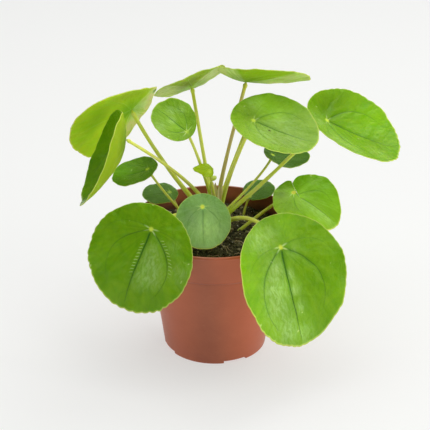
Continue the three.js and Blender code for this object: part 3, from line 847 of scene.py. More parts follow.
# %% Scales
SCALES = (                   # angle, lean, length, width, height and distance of the foot, in mm
    (35, 10, 12.5, 4.8, 115.2, 2), (125, 6, 14.0, 4.8, 115.0, 2), (215, 8, 14.0, 6.2, 115.2, 2),
    (300, 6, 14.5, 6.0, 115.0, 2), (80, 22, 9.0, 4.2, 113.5, 2), (170, 20, 11.0, 5.2, 113.5, 2),
    (255, 14, 12.5, 6.4, 113.5, 2), (350, 18, 9.5, 4.4, 113.5, 2), (20, 34, 7.0, 3.4, 110.5, 2),
    (150, 38, 6.5, 3.2, 109.5, 2), (245, 2, 19.0, 4.6, 113.0, 5.4), (264, 0, 20.5, 5.0, 113.0, 6.0),
    (286, 4, 18.0, 4.6, 113.0, 5.6),
)
points, faces, grain = [], [], []
for angle, lean, length, width, height, out in SCALES:
    stand = (Matrix.Translation((STEM_X, 0, height * MM))
             @ Matrix.Rotation(math.radians(angle), 4, "Z")
             @ Matrix.Translation((out * MM, 0, 0)) @ Matrix.Rotation(math.radians(lean), 4, "Y"))
    faces += [tuple(len(points) + i for i in face) for face in scale_faces()]
    for lift in (SCALE_THICK / 2, -SCALE_THICK / 2):
        points += [stand @ Vector(p) for p in scale_sheet(length * MM, width * MM, lift)]
        grain += [(2 * column / SCALE_COLUMNS - 1, row / SCALE_ROWS, angle)
                  for row in range(SCALE_ROWS + 1) for column in range(SCALE_COLUMNS + 1)]
new_piece("papery_scales", points, faces, scale_material, ["stipules"],
          {"grain": grain})
print("scales:", len(SCALES))

# %% [markdown]
# ## The leaves: where each one is
#
# A pilea leaf is a round blade held near its middle by a long stalk, like a small umbrella. Lengths
# here are in millimetres and angles in degrees. `hub` is where the stalk meets the blade, `heading`
# is the way the tip points, `droop` how far it hangs and `roll` how far it is turned about its
# midrib. `seat` is the share of the length behind the hub; `tip`, `back`, `fold` and `trough` bend
# the blade, and `slack` lets one side take only a share of the fold and trough. `swell` pushes the
# margin out or in round a given turn, `teeth` sets the depth of its teeth, `ruffle` and `waves` lift
# it, `notch` nicks it at `notch_turn`, and `slit` is the path of a torn cut. The stalk leaves the
# main stem at the turn and height in `stem`, or the soil at `soil`; `via` is the point it bends
# towards, `thick` its radius below and above, and `stalk` its colour where it isn't green.
#
# The other words describe the surface. `finish` is the leaf's colouring, unless `look` names another.
# One pair gives the sector of the underside that is painted paler, a painted reflection of the white
# table, as its middle and half width. `wide` is the side whose vein sweeps out furthest, `lean`
# shifts both side veins and `bow` bends the midrib. `veins` and `faint` set how clear the veins are,
# `ladder` the puckers beside them, `quilt` the swelling between them, `dot` the yellow spot over the
# stalk and `speck` a brown bruise; on the underside of high_left that spot is painted shade where
# the margin curls over. `tone` and `undertone` lighten or darken each face. Two lists of spots, one
# for each face, lighten or darken it round a place: painted light and painted shade. Each spot of
# painted gloss is a painted highlight, on both sides of the midrib or on one.

# %% Leaf table
LEAVES = (
    {"name": "high_left", "hub": (-60, 20, 178), "heading": -155, "droop": 8, "roll": 55,
     "length": 69, "width": 81, "seat": 0.26, "tip": -0.2, "back": 0.5, "fold": 0.05,
     "trough": -0.33,
     "swell": [(50, 0.16, 28), (108, -0.15, 22), (160, 0.22, 10), (222, -0.28, 32),
               (330, -0.03, 22)],
     "teeth": 0.35, "ruffle": 0.25, "waves": 7,
     "stem": (170, 99), "via": (-39, 13, 137), "thick": (2.0, 1.4), "finish": "bright",
     "wide": 1, "veins": 0.5,
     "tone": 1.1, "undertone": 1.8, "painted_reflection_sector": (203, 50), "speck": (-18, 13, 2.6),
     "painted_light_and_shade_below": [(12, 27, 12, -0.3), (-4, 23, 11, -0.26), (23, 8, 15, -0.2),
                   (34, -22, 12, -0.12)]},
    {"name": "folded_left", "hub": (-61.5, -27, 175.4), "heading": 175, "droop": 83, "roll": -4,
     "length": 72, "width": 68, "seat": 0.28, "tip": 0.7, "back": 0.8, "fold": 0.4, "trough": 0.3,
     "slack": (1, 0.7), "swell": [(318, -0.04, 18), (200, -0.06, 22)], "ruffle": 0.2, "waves": 6,
     "stem": (205, 105), "via": (-12, -6, 134), "thick": (1.7, 1.15), "finish": "bright",
     "tone": 0.88, "undertone": 1.0},
    {"name": "cupped_centre", "hub": (-20, -10, 174), "heading": 158, "droop": -31, "roll": -31,
     "length": 33, "width": 32, "seat": 0.14, "fold": 0.1, "trough": 0.25,
     "swell": [(-9, 0.02, 14), (-50, 0.04, 18), (-92, 0.05, 14), (190, 0.05, 25), (75, -0.04, 30)],
     "ruffle": 0.3, "waves": 5,
     "stem": (240, 113), "via": (-13, -8, 160), "thick": (1.5, 1.0), "finish": "fresh",
     "veins": 0.85, "quilt": 1.5, "dot": 0.4, "tone": 0.93, "painted_light_and_shade": [(8, 0, 6, 0.15)],
     "painted_gloss": [(18, -5, 3, 0.8, 0), (13, -10, 2.5, 0.8, 0), (16, 10, 3.5, 0.6, 0),
               (13, 0, 2.5, 0.9, 0)]},
    {"name": "top_left", "hub": (-17, 56, 181.6), "heading": -94, "droop": -32, "roll": 24,
     "length": 58, "width": 56, "seat": 0.2, "tip": -0.05, "back": 0.35, "fold": 0.05,
     "ruffle": 0.4, "waves": 6,
     "stem": (120, 107), "via": (-3, 9, 112), "thick": (1.8, 1.3), "finish": "bright", "wide": -1,
     "undertone": 1.1, "painted_reflection_sector": (186, 138),
     "painted_light_and_shade_below": [(24, 0, 10, -0.3), (14, -4, 7, -0.3), (1, 0, 6, 0.5)]},
    {"name": "top_right", "hub": (22, 14, 202), "heading": 0, "droop": 6, "roll": -25,
     "length": 67, "width": 62, "seat": 0.32, "tip": 0.19, "back": 1, "fold": 0.25,
     "slack": (1, 0.4), "ruffle": 0.3, "waves": 6,
     "stem": (60, 113), "via": (1, 3, 122), "thick": (1.9, 1.3), "stalk": "brown",
     "finish": "bright", "wide": 1, "undertone": 1.15, "painted_reflection_sector": (90, 140)},
    {"name": "centre_right", "hub": (26.5, -20, 186.3), "heading": -13, "droop": 21, "roll": 13,
     "length": 63, "width": 62.5, "seat": 0.26, "tip": 0.15, "fold": 0.15, "trough": 0.15,
     "teeth": 0.15, "ruffle": 0.2, "waves": 7,
     "stem": (-29, 107), "via": (7, -4, 133), "thick": (1.7, 1.2), "finish": "fresh",
     "wide": 1, "veins": 0.8, "quilt": 0.6, "tone": 0.86, "speck": (13, -4, 1.3),
     "painted_light_and_shade": [(2, 20, 9, 0.45), (12, 13, 8, 0.3), (18, 25, 8, 0.25), (-4, 4, 6, -0.15),
              (26, -9, 11, -0.18)],
     "painted_gloss": [(20, 7, 11, 0.6, 0), (13, -12, 14, 0.8, 0), (31, -8, 10, 0.7, 0),
               (-5, 15, 6, 0.5, 0)]},
    {"name": "far_right", "hub": (80.5, 20, 169.7), "heading": 5, "droop": 30, "roll": 18,
     "length": 77, "width": 70.5, "seat": 0.24, "tip": 0.16, "back": 0.6, "fold": 0.11,
     "trough": 0.38, "teeth": 0.6, "ruffle": 0.3, "waves": 8,
     "stem": (11, 101), "via": (28, 6, 118), "thick": (2.0, 1.3), "finish": "bright",
     "wide": 1, "veins": 0.75, "quilt": 0.6, "tone": 0.95,
     "painted_light_and_shade": [(-3, 13, 12, -0.28), (7, 24, 10, -0.15), (37, 20, 14, 0.2), (39, -5, 10, -0.12)],
     "painted_gloss": [(6, -23, 10, 0.6, -1), (18, -28, 10, 0.5, -1), (42, -18, 10, 0.4, -1),
               (-8, -7, 8, 0.5, 0)]},
    {"name": "shaded_right", "hub": (42.5, 35, 135.7), "heading": 7, "droop": 22, "roll": 3,
     "length": 31, "width": 30, "seat": 0.22, "tip": 0.4, "back": 0.3, "swell": [(0, 0.09, 400)],
     "ruffle": 0.4, "waves": 5,
     "stem": (38, 102), "via": (38, 31, 124), "thick": (1.15, 0.9), "finish": "dark"},
    {"name": "seedling_back", "hub": (26, 37, 100.7), "heading": 42, "droop": -12, "roll": 7,
     "length": 25, "width": 24, "seat": 0.1, "fold": 0.1, "ruffle": 0.3, "waves": 5,
     "soil": (21, 34), "via": (23, 36, 96), "thick": (0.95, 0.8), "finish": "dark"},
    {"name": "bud", "hub": (-4, -16, 146), "heading": 180, "droop": -18, "roll": -32,
     "length": 18, "width": 14, "seat": 0.3, "tip": -0.5, "back": -0.8, "fold": -0.45,
     "swell": [(58, -0.44, 45), (120, -0.2, 30), (178, -0.38, 38), (205, -0.2, 20), (258, 0.2, 16),
               (315, -0.13, 30)],
     "ruffle": 0.4, "waves": 4,
     "stem": (-90, 114), "via": (-1, -12, 129), "thick": (1.1, 0.8), "finish": "fresh",
     "look": "young", "dot": 0.3, "tone": 1.25},
    {"name": "front_left", "hub": (-44, -55, 120), "heading": -136, "droop": 57, "roll": -28,
     "length": 77, "width": 76, "seat": 0.22, "tip": -0.3, "teeth": 0.9, "ruffle": 0.8, "waves": 9,
     "stem": (-135, 101), "via": (-26, -32, 128), "thick": (2.2, 1.5), "finish": "bright",
     "wide": -1, "faint": 2, "ladder": 1, "quilt": 1.2, "tone": 0.9,
     "painted_light_and_shade": [(33, -23, 16, 0.08), (0, -12, 14, -0.05)],
     "painted_gloss": [(14, 6, 6, 0.6, 1), (22, 9, 7, 0.75, 1), (30, 13, 8, 0.75, 1), (34, 6, 7, 0.6, 1),
               (6, 20, 5, 0.35, 0), (20, 31, 7, 0.5, 0)]},
    {"name": "front_right", "hub": (45, -65, 111), "heading": -48, "droop": 54, "roll": 10,
     "length": 92, "width": 84, "seat": 0.25, "tip": -0.4, "fold": 0.1, "trough": 0.1,
     "teeth": 0.5, "ruffle": 0.8, "waves": 9,
     "stem": (-50, 97), "via": (28, -38, 132), "thick": (1.9, 1.3), "finish": "bright",
     "wide": 1, "lean": -2.8, "bow": (-0.075, -0.03, -0.04), "ladder": 0.42, "quilt": 1,
     "tone": 0.95,
     "painted_light_and_shade": [(17, -38, 14, 0.32), (-2, -30, 12, 0.22), (38, -35, 12, 0.3), (52, -25, 10, 0.25),
              (45, 33, 12, 0.12), (-15, 11, 9, 0.22), (-15, -15, 10, 0.15), (28, -9, 10, 0.22),
              (60, -4, 10, 0.15), (55, -3, 12, 0.15)],
     "painted_gloss": [(-10, -14, 9, 0.8, 0), (-12, -3, 6, 0.5, 0), (12, -10, 7, 0.9, -1),
               (25, -16, 9, 1, -1), (38, -19, 9, 0.8, -1), (20, -1, 3.5, 1, 1), (30, -1, 4, 1, 1),
               (43, -1, 4.5, 0.8, 1), (55, -14, 10, 0.8, -1), (62, -2, 8, 0.7, 1),
               (6, 8, 5, 0.4, 0)]},
    {"name": "front_centre", "hub": (-9, -30, 125), "heading": -85, "droop": 55, "roll": -8,
     "length": 40, "width": 40, "seat": 0.24, "fold": 0.05, "ruffle": 0.4, "waves": 5,
     "stem": (-100, 104), "via": (-6, -20, 122), "thick": (1.6, 1.2), "finish": "cool", "tone": 1.2,
     "painted_light_and_shade": [(6, -10, 8, -0.22), (13, 2, 7, 0.2), (22, 4, 9, 0.18)],
     "painted_gloss": [(16, 4, 12, 0.4, 0)]},
    {"name": "low_right", "hub": (57, 10, 115), "heading": -26, "droop": 10, "roll": 3,
     "length": 51, "width": 56, "seat": 0.26, "tip": -0.4, "trough": 0.5, "slack": (-1, 0),
     "swell": [(245, 0.2, 20)], "ruffle": 0.6, "waves": 6, "notch": 0.27, "notch_turn": 147,
     "slit": [(-6.7, 11.1), (-1, 4.2), (2.2, 0.8), (8, -1.7)],
     "soil": (14, 7), "via": (50, 10, 116), "thick": (1.35, 1.1), "finish": "cool", "look": "fresh",
     "tone": 1.25,
     "painted_light_and_shade": [(2, 1, 7, 0.25), (-7, -7, 5, -0.35), (25, -15, 11, 0.2), (25, 15, 10, 0.08)],
     "painted_gloss": [(15, -1, 8, 0.7, -1), (28, -1, 8, 0.8, -1), (16, 22, 6, 0.3, 0),
               (-7, -3, 8, 0.6, 0)]},
    {"name": "low_left", "hub": (-49.2, 20, 131), "heading": -178, "droop": 25, "roll": -8,
     "length": 35, "width": 35, "seat": 0.24, "tip": 0.25, "fold": 0.15, "ruffle": 0.5, "waves": 5,
     "soil": (-10, 8), "via": (-39, 17, 115), "thick": (1.15, 0.9), "finish": "dark",
     "look": "bright", "tone": 0.8, "painted_light_and_shade": [(21, -6, 9, 0.45), (-5, -9, 7, -0.2)],
     "painted_gloss": [(8, 0, 12, 0.5, 0)]},
    {"name": "seedling_left", "hub": (-34, 35, 105.2), "heading": -163, "droop": 2, "roll": -11,
     "length": 27, "width": 26, "seat": 0.23, "fold": 0.05, "ruffle": 0.4, "waves": 5,
     "soil": (-24, 30), "via": (-30, 34, 99), "thick": (1.2, 0.9), "finish": "dark", "dot": 0.4},
    {"name": "shaded_centre", "hub": (22.5, 35, 155.5), "heading": 30, "droop": 10, "roll": 8,
     "length": 30, "width": 28, "seat": 0.25, "fold": 0.05, "ruffle": 0.4, "waves": 5,
     "stem": (80, 107), "via": (12, 18, 136), "thick": (1.4, 1.0), "finish": "dark"},
)
print("leaves:", len(LEAVES))

# %% [markdown]
# ## The form of a blade
#
# The frame's blades follow one rule, and the fine blades follow it too: an oval round the hub, lifted
# by a few smooth terms. The rule works on whole arrays of points, so a blade of many thousand points
# takes no longer to write than one.

# %% Blade axes and height
CREASE_SOFTNESS = 0.06       # share of the length over which a fold rounds off


def leaf_axes(leaf):
    """The ways to the tip, to the left and up out of the blade."""
    heading, droop = math.radians(leaf["heading"]), math.radians(leaf["droop"])
    forward = Vector((math.cos(heading) * math.cos(droop), math.sin(heading) * math.cos(droop),
                      -math.sin(droop)))
    left = Vector((-math.sin(heading), math.cos(heading), 0))
    left.rotate(Matrix.Rotation(math.radians(leaf["roll"]), 3, forward))
    return forward, left, forward.cross(left)


def blade_height(leaf, x, y):
    """Height of the blade over the flat, x mm towards the tip and y mm to the left of the hub."""
    soft = CREASE_SOFTNESS * leaf["length"]
    curl = np.where(x > 0, leaf.get("tip", 0), leaf.get("back", 0))
    side, share = leaf.get("slack", (1, 1))
    slack = np.where(y * side > 0, share, 1)
    fold = slack * leaf.get("fold", 0) * (np.hypot(y, soft) - soft)
    return fold + (curl * x * x + slack * leaf.get("trough", 0) * y * y) / leaf["length"]


print("the first blade faces", [round(v, 2) for v in leaf_axes(LEAVES[0])[2]])

# %% Blade margin
TOOTH_SPACING = 6.0          # mm of margin for each tooth
TOOTH_DEPTH = 0.2            # mm, where the leaf table gives none
NOTCH_WIDTH = 0.115          # radians


def degrees_from(turns, centre):
    """How far each turn is from a centre in degrees, between -180 and 180."""
    return (np.degrees(turns) - centre + 180) % 360 - 180


def margin_point(leaf, turns, rng):
    """The margin's x and y at each turn, with shallow rounded teeth that come and go."""
    radius = (leaf["length"] + leaf["width"]) / 4
    teeth = round(2 * math.pi * radius / TOOTH_SPACING)
    phase, second, third = rng.uniform(0, 6.3, 3)
    uneven = 0.8 * np.sin(3 * turns + second) + phase
    tooth = np.abs(np.sin(teeth * turns / 2 + uneven)) ** 0.8 - 0.6
    deep = 0.6 + 0.4 * np.sin(5 * turns + third) * np.sin(2 * turns + phase)
    off = turns - math.radians(leaf.get("notch_turn", 180))
    reach = 1 - leaf.get("notch", 0) * np.exp(-(off / NOTCH_WIDTH) ** 2)
    reach += leaf.get("teeth", TOOTH_DEPTH) * deep * tooth / radius
    reach += 0.003 * np.sin(7 * turns + second) + 0.004 * np.sin(13 * turns + third)
    for centre, push, spread in leaf.get("swell", ()):
        reach += push * np.exp(-(degrees_from(turns, centre) / spread) ** 2)
    x = leaf["length"] * (0.5 - leaf["seat"] + np.cos(turns) / 2)
    return reach * x, reach * leaf["width"] * np.sin(turns) / 2


print("teeth round a 70 mm leaf:", round(math.pi * 70 / TOOTH_SPACING))

# %% [markdown]
# ## Veins that a shader can draw
#
# Five strong veins leave the hub: the midrib, two that arch out on either side of it and run on
# towards the tip, and two fainter ones that sweep round near the margin. A vein is about a
# millimetre wide, finer than the mesh, so it can't be painted on points. Instead each point stores
# its signed distance to the vein, counted in vein widths. That changes smoothly from point to point,
# and the shader draws a crisp line wherever it passes through zero.

# %% Vein paths and distances
# each path as shares of the length before the hub and of the width, then half width and depth in mm
VEINS = {
    "rib": ([(0, 0), (0.3, 0.015), (0.6, -0.03), (0.93, 0)], 0.8, 0.42),
    "side": ([(0, 0), (0.1, 0.12), (0.3, 0.43), (0.76, 0.23)], 0.6, 0.28),
    "outer": ([(0, 0), (-0.05, 0.15), (-0.01, 0.46), (0.45, 0.44)], 0.5, 0.12),
}
VEIN_STEPS = 40
VEIN_TAPER = 0.92            # share of its width that a vein loses on its way
VEIN_STUMP = 0.03            # mm, its width past either end, where it should vanish


def bezier(points, steps):
    """Points along the smooth curve that a few control points pull into shape."""
    points = np.array(points, float)
    order = len(points) - 1
    t = np.linspace(0, 1, steps)[:, None]
    return sum(math.comb(order, k) * (1 - t) ** (order - k) * t ** k * point
               for k, point in enumerate(points))


def vein_value(x, y, path, width):
    """Signed distance to a vein in vein widths, the plain distance, and the share along it."""
    start, step = path[:-1], np.diff(path, axis=0)
    px, py = x[:, None] - start[:, 0], y[:, None] - start[:, 1]
    share = np.clip((px * step[:, 0] + py * step[:, 1]) / (step ** 2).sum(1), 0, 1)
    away = np.hypot(px - share * step[:, 0], py - share * step[:, 1])
    nearest = away.argmin(1)
    rows = np.arange(len(x))
    side = step[nearest, 0] * py[rows, nearest] - step[nearest, 1] * px[rows, nearest]
    along = (nearest + share[rows, nearest]) / len(step)
    local = width * (1 - VEIN_TAPER * along)
    local = np.where((along <= 0) | (along >= 1), VEIN_STUMP, local)
    distance = away[rows, nearest]
    return np.where(side < 0, -1, 1) * distance / local, distance, along


print("veins:", list(VEINS))

# %% [markdown]
# ## Relief
#
# The veins lie sunken, with the blade swollen a little on both sides of each, and soft quilting lies
# between them. Both fade over the stalk and are shallower on a small leaf. While the veins are
# measured, each point also keeps what the shader needs to draw the short puckers beside them.

# %% Blade relief
QUILTS = ((24, 0.3), (14, 0.22), (9, 0.14), (6, 0.08))      # length and depth of each wave, in mm
FAR = 99.0                   # mm, further away than any vein


def relief_depth(leaf, x, y):
    return min(1.0, leaf["length"] / 60) ** 1.5 * (1 - np.exp(-(np.hypot(x, y) / 3.5) ** 2))


def vein_relief(leaf, x, y):
    """Heights of the veins and their flanks, and the numbers that the shader draws them from."""
    tip = leaf["length"] * (1 - leaf["seat"])
    thinner = (leaf["length"] / 75) ** 0.7
    wide = y * leaf.get("wide", 1) > 0
    height, fields = np.zeros_like(x), {}
    beside, along_mm, puckered = np.full_like(x, FAR), np.zeros_like(x), np.zeros_like(x)
    for label, (points, width, deepest) in VEINS.items():
        mirrored = np.abs(y)
        if label == "rib":
            bows = (0, *leaf.get("bow", (0, 0, 0)))
            points = [(ahead, off + bow) for (ahead, off), bow in zip(points, bows)]
            mirrored = y
        if label == "side":
            mirrored = np.abs(y - leaf.get("lean", 0) * np.clip(x / 15, 0, 1))
        path = bezier(points, VEIN_STEPS) * (tip, leaf["width"])
        value, distance, along = vein_value(x, mirrored, path, width * thinner)
        if label == "side":                 # the far-sweeping one can be fainter
            value = value * np.where(wide, leaf.get("faint", 1), 1)
        fields[label] = value
        depth = deepest * relief_depth(leaf, x, y)
        height -= depth * (1 - along) ** 0.5 * np.exp(-(distance / 1.4) ** 2)
        height += 0.5 * depth * (1 - along) * np.exp(-((distance - 3.4) / 1.7) ** 2)
        if label == "outer":                # no puckers beside the outer veins
            continue
        closer = distance < beside
        length = np.linalg.norm(np.diff(path, axis=0), axis=1).sum()
        beside = np.where(closer, distance, beside)
        along_mm = np.where(closer, along * length, along_mm)
        outside = wide if label == "rib" else (value > 0) & ~wide
        puckered = np.where(closer, np.where(outside, 1.0, 0.1), puckered)
    fields["ladder"] = np.stack([beside, along_mm, puckered * leaf.get("ladder", 0.15)], 1)
    return height, fields


def quilting(leaf, x, y, share, rng):
    """Soft swellings between the veins: a few crossed waves, each turned its own way."""
    height = np.zeros_like(x)
    depth_here = leaf.get("quilt", 0.7) * relief_depth(leaf, x, y) * np.minimum(1, 2.5 * share)
    for length, depth in QUILTS:
        angle, phase, other = rng.uniform(0, 6.3, 3)
        ahead = x * np.cos(angle) + y * np.sin(angle)
        across = y * np.cos(angle) - x * np.sin(angle)
        height += (depth * depth_here * np.sin(2 * np.pi * ahead / length + phase)
                   * np.sin(2 * np.pi * across / length + other))
    return height


print("quilting waves:", len(QUILTS))

# %% Spots and stored numbers
TURNED_SHARE = 0.1           # how much of a one-sided spot of painted gloss reaches the other side of the midrib
REFLECTION_EDGE = 9               # degrees over which the painted reflection on the underside fades


def spots(x, y, places):
    """The sum of soft round spots, each given by its place, radius and strength."""
    return sum((strength * np.exp(-((x - at_x) ** 2 + (y - at_y) ** 2) / radius ** 2)
                for at_x, at_y, radius, strength in places), np.zeros_like(x))


def surface_fields(leaf, number, x, y, turn, share, rib):
    """What the shader reads at each point of a face, apart from the veins."""
    dull = np.ones_like(x)                  # painted gloss: one minus each spot in turn
    for *place, side in leaf.get("painted_gloss", ()):
        dull *= 1 - spots(x, y, [place]) * np.where(side * rib < 0, TURNED_SHARE, 1)
    speck_x, speck_y, speck_size = leaf.get("speck", (FAR, FAR, 1))
    # the sector of the underside that is painted paler, a painted reflection of the white table
    middle, half_width = leaf.get("painted_reflection_sector", (0, 0))
    off = np.abs(degrees_from(turn, middle))
    painted_reflection = np.clip((half_width - off) / REFLECTION_EDGE + 0.5, 0, 1) * np.clip(share * 7, 0, 1)
    seed = 13.0 * number                    # moves the noises on from leaf to leaf
    return {
        "painted_gloss": 1 - dull, "speck": np.hypot(x - speck_x, y - speck_y) / speck_size,
        "painted_reflection": painted_reflection * (half_width > 0), "edge": share,
        "flat": np.stack([x, y, np.full_like(x, seed)], 1),
        "fan": np.stack([3 * np.cos(turn), 3 * np.sin(turn), share + seed], 1),
    }


def face_traits(leaf, x, y):
    """For the upper face and then the under face: tone, clearness of veins, strength of the dot."""
    above = leaf.get("tone", 1.0)
    below = leaf.get("undertone", above)
    # the spots lighten or darken the tone round a place: painted light and painted shade
    tone = np.concatenate([above * (1 + spots(x, y, leaf.get("painted_light_and_shade", ()))),
                           below * (1 + spots(x, y, leaf.get("painted_light_and_shade_below", ())))])
    veins = leaf.get("veins", min(1.0, leaf["length"] / 70))
    return np.stack([tone, np.full_like(tone, veins), np.full_like(tone, leaf.get("dot", 1.0))], 1)


print("leaves with a waxy shine:", sum("painted_gloss" in leaf for leaf in LEAVES))

# %% [markdown]
# ## The blade's mesh
#
# Each blade is rings of points from the hub to the margin, once for each face. The rings lie closer
# together at the margin, where the blade thins to a rounded edge. It follows the frame's blade with
# its own finer waves, veins and quilting added, and a torn leaf has one lobe lapped over the other.

# %% Blade rings and faces
BIG_LEAF = 45                # mm; a longer blade gets the finer mesh
INNER_SHARE = 0.97           # the plain rings end here
EDGE_SHARES = (0.984, 0.994, 1.0)      # of the way out: the rings that round the margin off
EDGE_THICKNESS = (0.88, 0.62, 0.2)     # their shares of the blade's thickness


def blade_grid(leaf, rng):
    """Sides and rings of a blade, and each point's place, turn and share of the way out."""
    sides, rings = (280, 38) if leaf["length"] > BIG_LEAF else (112, 24)
    inner = rings - len(EDGE_SHARES)
    shares = np.r_[np.linspace(0, INNER_SHARE, inner + 1)[1:], EDGE_SHARES]
    turns = 2 * np.pi * np.arange(sides) / sides
    x, y = (np.r_[0, np.outer(shares, edge).ravel()] for edge in margin_point(leaf, turns, rng))
    return sides, rings, x, y, np.r_[0, np.tile(turns, rings)], np.r_[0, np.repeat(shares, sides)]


def blade_faces(sides, rings):
    """Faces of both sides of a blade and of its rim; the hub is the first point of each side."""
    count = 1 + rings * sides
    faces = []
    for ring in range(rings):
        for here in range(sides):
            after = (here + 1) % sides
            if ring == 0:
                faces += [(0, 1 + here, 1 + after), (count, count + 1 + after, count + 1 + here)]
                continue
            a = 1 + (ring - 1) * sides
            quad = (a + here, a + sides + here, a + sides + after, a + after)
            faces += [quad, tuple(count + i for i in quad[::-1])]
    rim = 1 + (rings - 1) * sides
    for here in range(sides):
        after = (here + 1) % sides
        faces.append((rim + here, count + rim + here, count + rim + after, rim + after))
    return faces


print("faces of a small blade:", len(blade_faces(112, 24)))

# %% Blade mesh
FRAME_THICK = 0.9            # mm, thickness of the frame's blades
BLADE_THICK = 0.62           # mm
SLOPE_STEP = 0.5             # mm, over which a slope is measured
FIRST_SEED = 100
SLIT_HIGHLIGHT_WIDTH = 0.8              # mm from a slit, the reach of the painted highlight along its edge
LAP_UP, LAP_DOWN = 2.6, -1.8           # mm by which the lobes beside a slit part
LAP_REACH = 9                # mm from the slit over which they come together again
NO_LIP = 9.0                 # a distance to a slit at which nothing of it shows


def blade_piece(leaf, number, material):
    """A fine blade: rings of points from the hub to a rounded, waved margin, on both faces."""
    rng = np.random.default_rng(FIRST_SEED + number)
    sides, rings, x, y, turn, share = blade_grid(leaf, rng)
    relief, fields = vein_relief(leaf, x, y)
    relief += quilting(leaf, x, y, share, rng)
    fields.update(surface_fields(leaf, number, x, y, turn, share, fields["rib"]))
    wave = leaf["ruffle"] * np.sin(leaf["waves"] * turn) * share ** 3
    wave += 0.12 * np.sin((2 * leaf["waves"] + 5) * turn + 1) * share ** 6
    fields["lip"] = np.full_like(x, NO_LIP)
    if "slit" in leaf:                      # the far lobe laps over the near one
        # the pale band along the slit is a painted highlight
        lip, distance, along = vein_value(x, y, bezier(leaf["slit"], VEIN_STEPS), SLIT_HIGHLIGHT_WIDTH)
        fields["lip"] = lip
        fade = np.clip(2.2 * (1 - along), 0, 1) * np.exp(-distance / LAP_REACH)
        wave += fade * np.where(lip < 0, LAP_UP, LAP_DOWN)

    slopes = [(blade_height(leaf, x + dx, y + dy) - blade_height(leaf, x - dx, y - dy))
              / (2 * SLOPE_STEP) for dx, dy in ((SLOPE_STEP, 0), (0, SLOPE_STEP))]
    stretch = np.sqrt(1 + slopes[0] ** 2 + slopes[1] ** 2)      # keeps the thickness on a slope
    middle = blade_height(leaf, x, y) + wave + relief + FRAME_THICK / 2 * stretch
    plain = np.ones(rings - len(EDGE_THICKNESS))
    half = np.r_[1, np.repeat(np.r_[plain, EDGE_THICKNESS], sides)] * BLADE_THICK / 2
    forward, left, up = (np.array(axis) for axis in leaf_axes(leaf))
    flat = np.array(leaf["hub"]) + np.outer(x, forward) + np.outer(y, left)
    points = np.concatenate([flat + np.outer(middle + half * stretch, up),
                             flat + np.outer(middle - half * stretch, up)]) * MM

    both = {label: np.concatenate([values, values]) for label, values in fields.items()}
    both["under"] = np.repeat([0.0, 1.0], len(x))
    both["traits"] = face_traits(leaf, x, y)
    return new_piece(f"leaf_{leaf['name']}", points, blade_faces(sides, rings), material,
                     [f"blade_{leaf['name']}"], both)


print("blade thickness, mm:", BLADE_THICK)

# %% [markdown]
# ## Leaf finish
#
# A pilea blade is thin, waxy and slightly fleshy. Its upper face is satin green with sunken, darker
# veins with painted shade along their flanks, a yellow dot over the stalk and a thin pale rim, which
# is brightened as a painted highlight. Its underside is paler, and one sector of it is painted paler
# still, a painted reflection of the white table.
# Light goes through it: with the lamp behind, it glows yellow-green, so the shader scatters light
# under the surface, most in green, then in red. Wax has an index of refraction of about 1.45. The
# fine detail is a net of small veins, short puckers along the main veins, and a grain of cells.
# Painted highlights lie on the crests of the puckers and in patches of painted gloss.
#
# The shader is built in three steps. It reads numbers at a place: those stored on the mesh, distances
# and noises. It turns each into a mask, from 0 to 1. Then it paints colours and adds heights through
# the masks. Its lengths are in millimetres, as those stored on the mesh are.

# %% What a leaf's shader reads
LEAF_NOISES = (              # name, place it reads, scale, detail, roughness
    ("cloud", "flat", 0.055, 3, 0.6),          # patches about 18 mm across
    ("rays", "fan", 2.2, 4, 0.62),             # soft rays from the hub
    ("dimple", "bent", 0.28, 2, 0.5),          # dimples about 3.5 mm across
    ("pucker", "oblique", 1.0, 3, 0.6),        # ripples about 2 mm apart and 5 mm long
    ("cells", "flat", 1.9, 3, 0.7),            # cells about 0.5 mm across
)
LEAF_NETS = (                # name, what is measured, size of a cell
    ("wide net", "DISTANCE_TO_EDGE", 12), ("fine net", "DISTANCE_TO_EDGE", 2.6),
    ("pores", "F1", 12),
)


